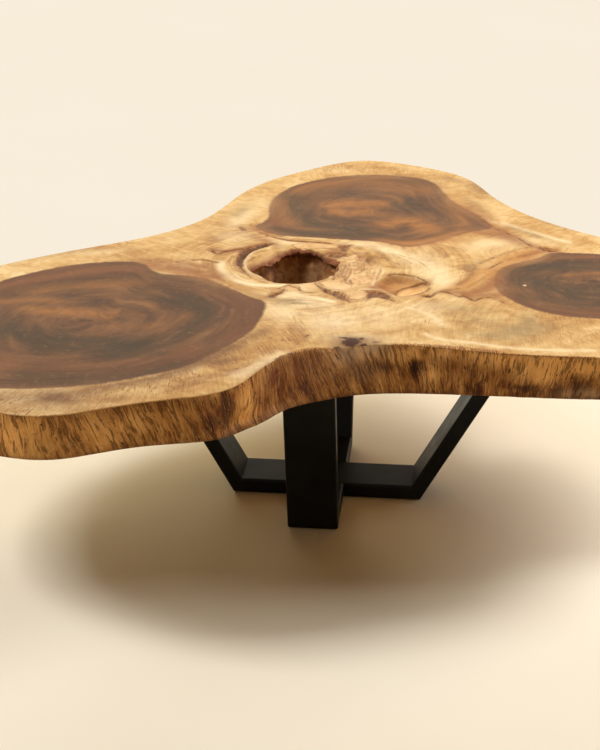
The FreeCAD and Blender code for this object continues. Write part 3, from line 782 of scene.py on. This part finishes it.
# Its faces, in the same order as its materials: the top, the live edge, the hole's wall and the underside
rim_count, hole_count = rim_rows.shape[1], hole_rows.shape[1]
rim_starts = rim_count * np.arange(len(rim_rows))
wall_starts = rim_count * len(rim_rows) + hole_count * np.arange(len(hole_rows))
top_start = wall_starts[-1] + hole_count
under_start = top_start + len(top_points)
top_faces = fill_face((rim_starts[0], top_rim), (wall_starts[-1], top_hole), (top_start, top_points), True)
side_faces = ring_quads(rim_starts, rim_count)
wall_faces = ring_quads(wall_starts, hole_count)
under_faces = fill_face(
    (rim_starts[-1], under_rim), (wall_starts[0], under_hole), (under_start, under_points), False
)
bands = [top_faces, side_faces, wall_faces, under_faces]

mesh = bpy.data.meshes.new("slab")
mesh.from_pydata((slab_points * MM).tolist(), [], [face for band in bands for face in band.tolist()])
kinds = np.repeat(np.arange(len(bands)), [len(band) for band in bands])
# The eased edge shows the sawn wood of the top
kinds[len(top_faces):len(top_faces) + EASED_ROWS * rim_count] = 0
mesh.polygons.foreach_set("material_index", kinds.astype(np.int32))
mesh.polygons.foreach_set("use_smooth", np.ones(len(kinds), bool))


def keep_field(name, values):
    values = np.asarray(values, np.float32)
    kind = "FLOAT" if values.ndim == 1 else "FLOAT_VECTOR"
    layer = mesh.attributes.new(name, kind, "POINT")
    layer.data.foreach_set("value" if values.ndim == 1 else "vector", values.ravel())


def stem_rings(xy):
    """Share of the way from a stem's pith to the edge of its heart, and the way it lies."""
    best = np.full(len(xy), 1e9)
    found = np.zeros((len(xy), 3))
    for name, pith in PITHS.items():
        loop = spline(HEARTS[name], closed=True, pieces=4) - pith
        turns = np.arctan2(loop[:, 1], loop[:, 0])
        order = np.argsort(turns)
        offset = xy - np.array(pith)
        turn = np.arctan2(offset[:, 1], offset[:, 0])
        edge = np.interp(turn, turns[order], np.linalg.norm(loop, axis=1)[order], period=2 * math.pi)
        share = np.linalg.norm(offset, axis=1) / edge
        nearer = share < best
        best = np.minimum(best, share)
        found[nearer] = np.stack([share, np.cos(turn), np.sin(turn)], axis=1)[nearer]
    return found


def grown_grain(xy):
    """The way across and along the grain of stems that grew together."""
    place = xy[:, 0] + 1j * xy[:, 1]
    product = np.ones(len(xy), complex)
    for x, y in PITHS.values():
        product = product * (place - (x + 1j * y)) / STEM_SPAN
    turn = np.angle(product)
    return np.stack([np.cos(turn), np.sin(turn), np.log(np.abs(product) + 1e-6)], axis=1)


def around_hole(xy):
    """How far a place lies from the hole, in steps of 100, and the way it lies."""
    offset = xy - HOLE
    distance = np.linalg.norm(offset, axis=1)
    return np.stack([distance / 100, offset[:, 0] / distance, offset[:, 1] / distance], axis=1)


# Fields on the slab's points, which its materials read
plan = slab_points[:, :2]
depth = TOP - slab_points[:, 2]
beyond_rim = np.zeros((len(slab_points) - rim_count * len(rim_rows), 3))
heart = np.min([shape_distance(plan, outline, pieces=4) for outline in HEARTS.values()], axis=0)
for name in sorted(PATCHES.keys() | STROKES.keys()):
    soft = np.maximum(spots(plan, PATCHES.get(name, ())), strokes(plan, STROKES.get(name, ())))
    keep_field(name, soft)
for name, patches in EDGE_SPOTS.items():
    keep_field(name, edge_spots(slab_points, patches))
for name, outline in (("burl", BURL), ("scoop", SCOOP), ("scoop_floor", SCOOP_FLOOR)):
    keep_field(name, shape_distance(plan, outline))
for name, lines in (("seam", SEAMS), ("figure", FIGURE)):
    keep_field(name, seam_distance(plan, lines))
for name, outlines in (("bark", BARK), ("plank", PLANKS)):
    keep_field(name, patch_distance(plan, outlines))
keep_field("heart", np.clip(heart, -120, 120))
keep_field("rings", stem_rings(plan))
keep_field("grain", grown_grain(plan))
keep_field("swirl", around_hole(plan))
keep_field("near", smooth(420, 180, np.linalg.norm(plan - HOLE - (60, 0), axis=1)))
keep_field("depth", depth)
keep_field("rot", depth - sound_depth(plan))
# Painted shade for the hole's wall at its rear right, below the lip
keep_field("painted_wall_shade", spot(plan, *PAINTED_WALL_SHADE) * smooth(6, 20, depth))
keep_field("fibre", np.concatenate([fibres.reshape(-1, 3), beyond_rim]))
keep_field("ridge", np.concatenate([ridges.ravel(), beyond_rim[:, 0]]))


def strips(rows, count, cut_into, along, down, pitch):
    """A band of rings laid flat, cut into strips: four places for each of its quads."""
    row, column = np.divmod(np.arange((rows - 1) * count), count)
    strip, place = np.divmod(column, -(-count // cut_into))
    corners = []
    for further, lower in ((0, 0), (0, 1), (1, 1), (1, 0)):
        corners.append(np.stack([(place + further) * along, strip * pitch + (row + lower) * down], axis=1))
    return np.stack(corners, axis=1)


def flat_layout():
    """Where each face lies on the flat sheet that its colours can be baked to."""
    low, high = top_rim.min(axis=0) - SHEET_GAP, top_rim.max(axis=0) + SHEET_GAP
    size = high - low
    eased = EASED_ROWS * rim_count
    top = plan[top_faces] - low
    side = strips(len(rim_rows), rim_count, RIM_STRIPS, RIM_STEP, RIM_ROW, STRIP_PITCH)
    side += (SHEET_GAP, size[1])
    side[:eased] = plan[side_faces[:eased]] - low
    wall = strips(len(hole_rows), hole_count, 1, HOLE_STEP, WALL_ROW, 0.0)[:, :, ::-1]
    wall = wall + (size[0], SHEET_GAP)
    under = (plan[under_faces] - low) * UNDER_SHARE + (0.0, size[1] * (1 - UNDER_SHARE))
    return np.concatenate([part.reshape(-1, 2) for part in (top, side, wall, under)]) / SHEET


sheet = mesh.uv_layers.new(name="OFBake")
sheet.data.foreach_set("uv", flat_layout().astype(np.float32).ravel())

slab = bpy.data.objects.new("slab", mesh)
bpy.context.scene.collection.objects.link(slab)
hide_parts("slab_top")
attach(slab, "root")


# Looks, all of them made by nodes
def paint(red, green, blue):
    """A colour from its usual 0 to 255 numbers."""
    shares = [c / 255 for c in (red, green, blue)]
    return [c / 12.92 if c <= 0.04045 else ((c + 0.055) / 1.055) ** 2.4 for c in shares] + [1.0]


class Graph:
    """A material's nodes, added one call at a time."""

    def __init__(self, name):
        self.material = bpy.data.materials.new(name)
        self.material.use_nodes = True
        self.tree = self.material.node_tree
        self.shader = self.tree.nodes["Principled BSDF"]

    def add(self, kind, **settings):
        node = self.tree.nodes.new("ShaderNode" + kind)
        for name, value in settings.items():
            setattr(node, name, value)
        return node

    def put(self, socket, value):
        if isinstance(value, bpy.types.NodeSocket):
            self.tree.links.new(value, socket)
        else:
            socket.default_value = value

    def field(self, name, output="Fac"):
        return self.add("Attribute", attribute_name=name).outputs[output]

    def place(self):
        return self.add("TexCoord").outputs["Object"]

    def shift(self, vector, other, amount):
        """The vector moved by another one, so that a pattern wanders."""
        node = self.add("VectorMath", operation="MULTIPLY_ADD")
        self.put(node.inputs[0], other)
        node.inputs[1].default_value = (amount, amount, amount)
        self.put(node.inputs[2], vector)
        return node.outputs[0]

    def noise(self, vector, scale, detail=2.0, roughness=0.5, distortion=0.0, output="Fac"):
        """Noise at one scale, or at one for each axis."""
        if isinstance(scale, tuple):
            stretch = self.add("VectorMath", operation="MULTIPLY")
            self.put(stretch.inputs[0], vector)
            stretch.inputs[1].default_value = scale
            vector, scale = stretch.outputs[0], 1.0
        node = self.add("TexNoise")
        self.put(node.inputs["Vector"], vector)
        node.inputs["Scale"].default_value = scale
        node.inputs["Detail"].default_value = detail
        node.inputs["Roughness"].default_value = roughness
        node.inputs["Distortion"].default_value = distortion
        return node.outputs[output]

    def math(self, operation, a, b=0.0, c=0.0):
        node = self.add("Math", operation=operation)
        for socket, value in zip(node.inputs, (a, b, c)):
            self.put(socket, value)
        return node.outputs[0]

    def centred(self, value):
        """A noise's value, moved to lie about nothing."""
        return self.math("SUBTRACT", value, 0.5)

    def times(self, *values):
        total = values[0]
        for value in values[1:]:
            total = self.math("MULTIPLY", total, value)
        return total

    def weigh(self, *shares, base=0.0):
        """The sum of a base and of (value, weight) pairs."""
        total = base
        for value, weight in shares:
            total = self.math("MULTIPLY_ADD", value, weight, total)
        return total

    def step(self, value, low, high, least=0.0, most=1.0):
        """A soft step from the least to the most as the value goes from low to high."""
        node = self.add("MapRange", interpolation_type="SMOOTHSTEP")
        for socket, number in zip(node.inputs, (value, low, high, least, most)):
            self.put(socket, number)
        return node.outputs[0]

    def frayed(self, name, ragged, amount):
        """A field of distances, made ragged."""
        return self.weigh((ragged, amount), base=self.field(name))

    def ramp(self, factor, *stops):
        node = self.add("ValToRGB")
        points = node.color_ramp.elements
        while len(points) < len(stops):
            points.new(0.5)
        for point, (position, colour) in zip(points, stops):
            point.position = position
            point.color = paint(*colour)
        self.put(node.inputs[0], factor)
        return node.outputs[0]

    def over(self, colour, tint, *amounts):
        """A tint laid over a colour, by the product of the amounts."""
        node = self.add("Mix", data_type="RGBA")
        self.put(node.inputs[0], self.times(*amounts))
        for socket, value in ((node.inputs[6], colour), (node.inputs[7], tint)):
            self.put(socket, value if isinstance(value, bpy.types.NodeSocket) else paint(*value))
        return node.outputs[2]

    def streak(self, colour, tint, name, pattern, low, high, least, share=1.0):
        """A tint laid over a colour where a field says, broken up by a pattern."""
        return self.over(colour, tint, self.field(name), self.step(pattern, low, high, least), share)

    def finish(self, colour, roughness, height=None, depth=0.001, specular=0.5, metallic=0.0):
        self.put(self.shader.inputs["Base Color"], colour)
        self.put(self.shader.inputs["Roughness"], roughness)
        self.put(self.shader.inputs["Specular IOR Level"], specular)
        self.put(self.shader.inputs["Metallic"], metallic)
        if height is not None:
            bump = self.add("Bump")
            bump.inputs["Strength"].default_value = 1.0
            bump.inputs["Distance"].default_value = depth
            self.put(bump.inputs["Height"], height)
            self.put(self.shader.inputs["Normal"], bump.outputs[0])
        return self.material


def sapwood(g, grain, place):
    """Golden wood: slow clouds, faint rays across the rings, and short dark dashes where they crowd."""
    rays = g.noise(grain, (62, 62, 6), detail=4, roughness=0.62)
    hairs = g.noise(grain, (240, 240, 14))
    clouds = g.noise(place, 5.5, detail=5, roughness=0.55, distortion=0.6)
    mottle = g.noise(place, 26, detail=4, roughness=0.62, distortion=0.8)
    curl = g.shift(g.field("swirl", "Vector"), g.noise(place, 7, output="Color"), 0.35)
    curl = g.noise(curl, (9, 1.1, 1.1), detail=5, roughness=0.62)
    curl = g.times(g.centred(curl), g.field("near"))
    tone = g.weigh((rays, 0.19), (hairs, 0.09), (clouds, 0.42), (mottle, 0.3), (curl, 0.45))
    colour = g.ramp(
        tone,
        (0.39, (157, 110, 61)), (0.46, (188, 144, 87)), (0.52, (206, 167, 111)), (0.61, (225, 194, 145)),
    )
    dashes = g.noise(grain, (95, 95, 17), detail=3, roughness=0.6)
    crowd = g.weigh((g.noise(place, 10, detail=3), 0.85), (g.field("pepper"), 0.28))
    dashes = g.times(g.step(dashes, 0.52, 0.63), g.step(crowd, 0.48, 0.68))
    return g.over(colour, (132, 80, 38), dashes, 0.75), tone, dashes


def heartwood(g, place):
    """Dark wood with soft bands and fine rings, streaked with orange, rust and slate."""
    rings = g.shift(g.field("rings", "Vector"), g.noise(place, 5, output="Color"), 0.16)
    bands = g.noise(rings, (7, 1, 1), detail=5, roughness=0.6, distortion=0.5)
    fine = g.noise(rings, (60, 2.2, 2.2), detail=3, roughness=0.6)
    tone = g.weigh((bands, 0.78), (fine, 0.22))
    colour = g.ramp(
        tone, (0.34, (64, 41, 25)), (0.46, (87, 56, 34)), (0.57, (109, 71, 42)), (0.7, (134, 90, 52))
    )
    brush = g.noise(rings, (11, 1.6, 1.6), detail=5, roughness=0.65, distortion=0.8)
    colour = g.streak(colour, (118, 66, 36), "rust", brush, 0.3, 0.6, 0.35, 0.8)
    colour = g.streak(colour, (58, 45, 28), "slate", brush, 0.66, 0.36, 0.6, 0.92)
    colour = g.streak(colour, (168, 108, 52), "gold", brush, 0.3, 0.58, 0.35, 0.85)
    return colour, fine


def scoop_wood(g, colour, swirl, ragged):
    """The hollow beside the hole: brown at its head, orange along its length, with a pale floor."""
    rind = g.over((124, 78, 35), (182, 126, 66), g.step(swirl, 0.34, 0.6))
    colour = g.over(colour, rind, g.step(g.frayed("scoop", ragged, 10), 4, -12, most=0.85))
    colour = g.streak(colour, (148, 90, 42), "lining", swirl, 0.3, 0.55, 0.5, 0.85)
    pale = g.over((204, 148, 88), (230, 184, 126), g.step(swirl, 0.3, 0.6))
    return g.over(colour, pale, g.step(g.frayed("scoop_floor", ragged, 7), 2, -4))


def burl_wood(g, colour, place, ragged):
    """The broken lump beside the hole: tan, folded and wrinkled in grey-brown."""
    body = g.noise(place, (26, 13, 26), detail=5, roughness=0.55, distortion=0.8)
    shades = g.ramp(body, (0.36, (160, 118, 80)), (0.47, (202, 158, 112)), (0.62, (228, 190, 142)))
    broken = g.step(g.frayed("burl", ragged, 24), 5, -8)
    colour = g.over(colour, shades, broken, 0.85)
    folds = g.centred(g.noise(place, (17, 8.5, 17), detail=3, distortion=1.2))
    folds = g.times(g.step(g.math("ABSOLUTE", folds), 0.022, 0.0), broken)
    colour = g.over(colour, (128, 92, 60), folds, 0.4)
    return colour, g.weigh((folds, -1.2), (g.times(body, broken), 3.0)), broken


def broken_planks(g, colour, swirl, ragged):
    """Pale slivers of wood before the hole, outlined in brown."""
    sliver = g.frayed("plank", ragged, 6)
    shades = g.ramp(swirl, (0.3, (202, 154, 104)), (0.6, (228, 188, 138)))
    colour = g.over(colour, shades, g.step(sliver, 0.5, -3, most=0.7))
    outline = g.step(g.math("ABSOLUTE", sliver), 2.2, 0.4)
    return g.over(colour, (132, 84, 50), outline, g.step(swirl, 0.42, 0.56, 0.1, 0.75))


def torn_bark(g, colour, grain, swirl, ragged):
    """Ragged strips of bark caught between the stems, darker in their middles."""
    strands = g.noise(grain, (120, 120, 22), detail=4, roughness=0.7)
    bark = g.weigh((g.centred(strands), 14), (ragged, 18), base=g.field("bark"))
    tone = g.weigh((swirl, 0.4), (strands, 0.6))
    shades = g.ramp(
        tone, (0.38, (66, 38, 22)), (0.48, (104, 64, 38)), (0.56, (142, 94, 58)), (0.66, (190, 140, 96))
    )
    colour = g.over(colour, (166, 112, 68), g.step(bark, 8, -1, most=0.5))
    return g.over(colour, shades, g.step(bark, 3, -5, most=0.9))


def creeping_edge(g, colour, grain, ragged):
    """Where the live edge's brown fibres wrap up over the rim."""
    hairs = g.noise(grain, (130, 130, 14), detail=3, roughness=0.6)
    fringe = g.weigh((g.field("creep"), 1.0), (ragged, 0.7), (g.centred(hairs), 1.3))
    shades = g.ramp(hairs, (0.38, (86, 48, 20)), (0.52, (150, 96, 48)), (0.66, (206, 152, 88)))
    return g.over(colour, shades, g.step(fringe, 0.36, 0.52, most=0.9))


def face_wood(name, dull):
    """The sawn face: sapwood, three hearts, and the torn and weathered middle."""
    g = Graph(name)
    grain = g.field("grain", "Vector")
    place = g.place()
    colour, tone, dashes = sapwood(g, grain, place)
    ragged = g.centred(g.noise(place, 60, detail=5, roughness=0.68))
    swirl = g.noise(place, 22, detail=5, roughness=0.62, distortion=1.4)

    colour = g.streak(colour, (242, 216, 174), "pale", swirl, 0.2, 0.6, 0.45)
    # Grey-olive stains, and a painted shadow under the pale tongue before the hole
    colour = g.streak(colour, (148, 124, 87), "stain_and_shadow", tone, 0.6, 0.42, 0.5)
    colour = g.streak(colour, (180, 124, 62), "fan", swirl, 0.25, 0.6, 0.65, 0.9)
    colour = g.streak(colour, (142, 90, 54), "tan", swirl, 0.25, 0.6, 0.6, 0.9)
    colour = g.streak(colour, (112, 74, 48), "dull", tone, 0.62, 0.44, 0.7)
    figure = g.step(g.frayed("figure", ragged, 9), 2.2, -1)
    colour = g.over(colour, (124, 82, 48), figure, 0.42)
    colour = scoop_wood(g, colour, swirl, ragged)
    colour, crags, broken = burl_wood(g, colour, place, ragged)
    colour = g.over(colour, (110, 80, 52), figure, broken, 0.45)
    colour = broken_planks(g, colour, swirl, ragged)

    dark, fine = heartwood(g, place)
    melt = g.field("melt")
    heart = g.frayed("heart", ragged, 10)
    hazy = g.frayed("heart", ragged, 26)
    crisp = g.step(heart, 4.5, -4.5)
    soft = g.step(hazy, 12, -34)
    colour = g.over(colour, (168, 108, 62), g.step(hazy, 30, -6), melt, 0.75)
    inner = g.weigh((crisp, 1.0), (g.times(melt, g.math("SUBTRACT", soft, crisp)), 1.0))
    colour = g.over(colour, dark, inner)
    colour = g.over(colour, (110, 66, 42), g.step(heart, -18, -2), crisp, 0.35)

    seam = g.frayed("seam", ragged, 10)
    colour = g.over(colour, (150, 98, 56), g.step(seam, 10, 0, most=0.3))
    colour = torn_bark(g, colour, grain, swirl, ragged)
    # Pale rims of broken wood, partly painted highlights on the burl's ridges
    colour = g.streak(colour, (232, 198, 162), "pale_rim_and_highlight", swirl, 0.36, 0.52, 0.3, 0.85)
    cut = g.step(seam, 1.8, -1.6)
    colour = g.over(colour, (104, 64, 38), cut, 0.75)
    colour = g.over(colour, (70, 42, 30), g.step(seam, -1.5, -5, most=0.7))
    colour = creeping_edge(g, colour, grain, ragged)
    knot = g.frayed("knot", ragged, 1.1)
    colour = g.over(colour, (150, 112, 84), g.step(knot, 0.02, 0.4, most=0.5))
    colour = g.over(colour, (66, 42, 34), g.step(knot, 0.36, 0.75, most=0.95))
    colour = g.over(colour, (214, 178, 140), g.step(g.field("chip"), 0.4, 0.7, most=0.85))
    if dull:
        dust = g.noise(place, 30, detail=4)
        colour = g.over(colour, (120, 92, 64), g.step(dust, 0.35, 0.7, 0.2, 0.5))

    height = g.weigh(
        (tone, 0.35), (dashes, -0.25), (swirl, 0.1), (crags, 1.0), (cut, -0.8), (figure, -0.4), (fine, 0.08)
    )
    rough = g.weigh((tone, 0.16), (inner, -0.05), (broken, 0.16), base=0.62 if dull else 0.36)
    return g.finish(colour, rough, height, 0.0007, specular=0.16)


def live_edge_wood():
    """The rim: golden wood with short dark dashes that run down and lean, and dark patches."""
    g = Graph("slab_live_edge")
    place = g.place()
    wander = g.noise(place, 24, detail=3, output="Color")
    fibre = g.shift(g.field("fibre", "Vector"), wander, 12.0)
    clouds = g.noise(place, 17, detail=5, roughness=0.6, distortion=0.5)
    uneven = g.centred(clouds)
    wide = g.noise(fibre, (0.05, 0.05, 0.014), detail=4, roughness=0.62)
    thin = g.noise(fibre, (0.36, 0.36, 0.03), detail=4, roughness=0.65)
    gold = g.field("edge_gold")
    dark = g.field("edge_dark")
    gloom = g.times(dark, g.step(wide, 0.36, 0.62, 1.3, 0.3))
    tone = g.weigh((wide, 0.36), (clouds, 0.28), (thin, 0.42), (g.field("ridge"), 0.05), base=-0.03)
    tone = g.weigh((gold, 0.09), (gloom, -0.15), base=tone)
    colour = g.ramp(
        tone, (0.32, (70, 36, 13)), (0.41, (118, 68, 28)), (0.49, (164, 108, 52)), (0.57, (196, 140, 76)),
        (0.68, (226, 176, 108)),
    )
    warm = g.times(gold, g.step(thin, 0.34, 0.56, 0.3, 0.6))
    colour = g.over(colour, (240, 170, 92), g.math("MINIMUM", warm, 0.8))
    colour = g.streak(colour, (100, 46, 11), "edge_red", clouds, 0.36, 0.62, 0.4, 0.85)
    colour = g.streak(colour, (186, 148, 108), "edge_grey", clouds, 0.3, 0.6, 0.4, 0.85)
    dashes = g.noise(fibre, (0.19, 0.19, 0.024), detail=4, roughness=0.65)
    dashes = g.step(g.weigh((uneven, -0.25), base=dashes), 0.52, 0.61)
    colour = g.over(colour, (88, 48, 18), dashes, 0.7)
    pits = g.step(g.noise(fibre, (0.12, 0.12, 0.06), detail=4), 0.64, 0.72)
    colour = g.over(colour, (46, 22, 8), pits, 0.75)
    knots = g.step(g.weigh((uneven, 3.0), base=dark), 1.0, 1.8)
    colour = g.over(colour, (56, 28, 12), knots, 0.75)
    hairs = g.noise(fibre, (0.8, 0.8, 0.05))
    colour = g.over(colour, (236, 190, 124), g.step(hairs, 0.58, 0.7, most=0.3))
    colour = g.over(colour, (66, 38, 18), g.step(g.field("depth"), 74, 86, most=0.5))
    height = g.weigh((thin, 0.6), (hairs, 0.2), (wide, 0.5), (dashes, -0.4), (pits, -0.6))
    return g.finish(colour, g.weigh((thin, 0.2), base=0.46), height, 0.0022, specular=0.1)


def hollow_wood():
    """The hole's wall: a sound pale lip, a torn red-brown edge, then rotted wood with paler lumps. Painted
    shade darkens the wall under the lip and at the rear right, and painted light brightens the lumps deeper
    down.
    """
    g = Graph("slab_hollow")
    place = g.place()
    lumps = g.noise(place, 36, detail=5, roughness=0.62, distortion=0.6)
    strands = g.noise(place, (120, 120, 40), detail=3)
    tone = g.weigh((lumps, 0.75), (strands, 0.25))
    sound = g.ramp(tone, (0.34, (152, 106, 64)), (0.48, (202, 157, 102)), (0.64, (230, 194, 140)))
    torn = g.ramp(tone, (0.36, (78, 38, 22)), (0.5, (128, 74, 48)), (0.66, (176, 118, 80)))
    rot = g.ramp(
        tone, (0.36, (104, 62, 34)), (0.48, (150, 100, 58)), (0.58, (184, 134, 82)), (0.7, (208, 162, 108))
    )
    rotten = g.frayed("rot", g.centred(lumps), 22)
    colour = g.over(sound, torn, g.step(rotten, -13, -3))
    colour = g.over(colour, rot, g.step(rotten, 1, 5))
    # Painted shade: a dark band on the wall just under the lip, where the overhang shades it
    colour = g.over(colour, (70, 32, 14), g.step(rotten, 2, 5), g.step(rotten, 18, 9), 0.75)
    # Painted light: the lumps deeper down are made paler, as where light reaches the lower wall
    colour = g.over(colour, (200, 156, 104), g.step(rotten, 18, 44), g.step(lumps, 0.4, 0.6), 0.6)
    # Painted shade on the hole's wall at its rear right
    colour = g.over(colour, (96, 58, 28), g.field("painted_wall_shade"), 0.75)
    height = g.weigh((lumps, 1.0), (strands, 0.4))
    return g.finish(colour, g.weigh((strands, 0.2), base=0.55), height, 0.003, specular=0.15)


def coated_steel():
    """Black powder coat: a fine pebbled skin, a little dust and slightly rubbed places."""
    g = Graph("black_powder_coat")
    place = g.place()
    pebbles = g.noise(place, 900)
    patches = g.noise(place, 14, detail=4, roughness=0.6)
    colour = g.ramp(patches, (0.35, (8, 6, 4)), (0.55, (12, 10, 7)), (0.72, (21, 17, 12)))
    return g.finish(colour, g.step(patches, 0.3, 0.7, 0.34, 0.48), pebbles, 0.00012, specular=0.14)


def plated_steel():
    """Zinc plate: faint drawn lines and a cloudy bloom."""
    g = Graph("zinc_plate")
    place = g.place()
    grain = g.noise(place, (220, 220, 2640), detail=3)
    bloom = g.noise(place, 60, detail=3)
    colour = g.ramp(g.weigh((grain, 0.5), (bloom, 0.5)), (0.35, (158, 158, 152)), (0.65, (206, 206, 202)))
    return g.finish(colour, g.step(bloom, 0.3, 0.7, 0.28, 0.46), grain, 0.0001, metallic=1.0)


def plain_brass():
    """Brass with turning marks and some tarnish."""
    g = Graph("turned_brass")
    place = g.place()
    turning = g.noise(place, (160, 160, 3200))
    tarnish = g.noise(place, 70, detail=4)
    colour = g.ramp(tarnish, (0.35, (150, 112, 58)), (0.65, (208, 168, 96)))
    return g.finish(colour, g.step(tarnish, 0.3, 0.7, 0.3, 0.5), turning, 0.0001, metallic=1.0)


def glide_plastic():
    """Dark moulded plastic with scuffs."""
    g = Graph("glide_plastic")
    place = g.place()
    grain = g.noise(place, 700, detail=3)
    scuffs = g.noise(place, 40, detail=4)
    colour = g.ramp(scuffs, (0.35, (24, 23, 22)), (0.7, (52, 49, 45)))
    return g.finish(colour, g.step(scuffs, 0.3, 0.7, 0.5, 0.7), grain, 0.0002)


face, underside = face_wood("slab_face", False), face_wood("slab_underside", True)
for material in (face, live_edge_wood(), hollow_wood(), underside):
    mesh.materials.append(material)

FINISHES = {
    "black_steel": coated_steel(),
    "zinc_steel": plated_steel(),
    "brass": plain_brass(),
    "glide": glide_plastic(),
}
for part in frame["record"]["subparts"]:
    if part["material_slot"] in FINISHES:
        for slot in frame["nodes"][part["node"]].material_slots:
            slot.material = FINISHES[part["material_slot"]]


# The studio, in metres: softboxes as place, size, watts and tint
FLOOR_HALF = 14.0
SHADOW_MIDDLE = (0.0, -0.5, 0.0)
SHADOW_EDGE = (0.85, 1.5)
LAMP_AIM = (0.0, -0.1, 0.2)
SOFTBOXES = {
    "left_softbox": ((-2.74, -0.82, 2.78), 0.83, 96, (0.97, 0.99, 1.0)),
    "right_softbox": ((2.12, 0.52, 1.86), 1.31, 71, (1.0, 0.99, 0.95)),
    "rear_softbox": ((-1.1, 2.13, 1.71), 2.34, 49, (1.0, 0.92, 0.62)),
}
ROOM_GLOW = (0.135, 0.095, 0.052, 1.0)

# The photograph's camera, found from the steel base
CAMERA_PLACE = (0.3204, -3.7258, 1.8905)
CAMERA_RIGHT = (0.9951, 0.09886, 0.0)
CAMERA_UP = (-0.04024, 0.40501, 0.91343)
CAMERA_BACK = (0.0903, -0.90895, 0.40701)
SENSOR_WIDTH = 36.0
FOCAL_LENGTH = 96.0


def seen_directly(tree):
    """1 for what the camera, a mirror or glass sees, and 0 for what lights the table."""
    path = tree.nodes.new("ShaderNodeLightPath")
    total = path.outputs["Is Camera Ray"]
    for name in ("Is Glossy Ray", "Is Transmission Ray"):
        node = tree.nodes.new("ShaderNodeMath")
        node.operation = "MAXIMUM"
        tree.links.new(total, node.inputs[0])
        tree.links.new(path.outputs[name], node.inputs[1])
        total = node.outputs[0]
    return total


def studio_floor():
    """A pale floor: it takes the shadow round the table and is evenly bright further off."""
    low, high = -FLOOR_HALF, FLOOR_HALF
    paper = bpy.data.meshes.new("studio_floor")
    paper.from_pydata([(low, low, 0), (high, low, 0), (high, high, 0), (low, high, 0)], [], [(0, 1, 2, 3)])
    floor = bpy.data.objects.new("studio_floor", paper)
    bpy.context.scene.collection.objects.link(floor)
    g = Graph("studio_paper")
    place = g.place()
    tone = g.noise(place, 1.5)
    colour = g.ramp(tone, (0.3, (246, 235, 215)), (0.7, (250, 240, 222)))
    away = g.add("VectorMath", operation="DISTANCE")
    g.put(away.inputs[0], place)
    away.inputs[1].default_value = SHADOW_MIDDLE
    far = g.step(away.outputs["Value"], *SHADOW_EDGE)
    glow = g.add("Emission")
    g.put(glow.inputs["Color"], g.ramp(tone, (0.3, (247, 236, 216)), (0.7, (249, 238, 219))))
    both = g.add("MixShader")
    g.put(both.inputs[0], g.times(far, seen_directly(g.tree)))
    g.put(both.inputs[1], g.shader.outputs[0])
    g.put(both.inputs[2], glow.outputs[0])
    paper.materials.append(g.finish(colour, 0.9, specular=0.0))
    g.put(g.tree.nodes["Material Output"].inputs["Surface"], both.outputs[0])


def softbox(name, place, size, watts, tint):
    """A square softbox, turned to the table."""
    lamp = bpy.data.lights.new(name, "AREA")
    lamp.size = size
    lamp.energy = watts
    lamp.color = tint
    light = bpy.data.objects.new(name, lamp)
    bpy.context.scene.collection.objects.link(light)
    light.location = place
    towards = Vector(place) - Vector(LAMP_AIM)
    light.rotation_euler = towards.to_track_quat("Z", "Y").to_euler()
    return light


def studio_light():
    """Softboxes at both sides and behind, in a dim warm room that is seen as pale paper."""
    lights = {name: softbox(name, *settings) for name, settings in SOFTBOXES.items()}
    lights["rear_softbox"].visible_glossy = False
    world = bpy.data.worlds.new("studio")
    world.use_nodes = True
    tree = world.node_tree
    room = tree.nodes.new("ShaderNodeMix")
    room.data_type = "RGBA"
    room.inputs[6].default_value = ROOM_GLOW
    room.inputs[7].default_value = paint(249, 239, 221)
    tree.links.new(seen_directly(tree), room.inputs[0])
    tree.links.new(room.outputs[2], tree.nodes["Background"].inputs["Color"])
    bpy.context.scene.world = world


def photo_camera():
    lens = bpy.data.cameras.new("camera")
    lens.sensor_width = SENSOR_WIDTH
    lens.lens = FOCAL_LENGTH
    lens.clip_end = 100.0
    camera = bpy.data.objects.new("camera", lens)
    bpy.context.scene.collection.objects.link(camera)
    turn = Matrix((CAMERA_RIGHT, CAMERA_UP, CAMERA_BACK)).transposed().to_4x4()
    camera.matrix_world = Matrix.Translation(CAMERA_PLACE) @ turn
    bpy.context.scene.camera = camera


studio_floor()
studio_light()
photo_camera()
bpy.context.scene.view_settings.view_transform = "Standard"
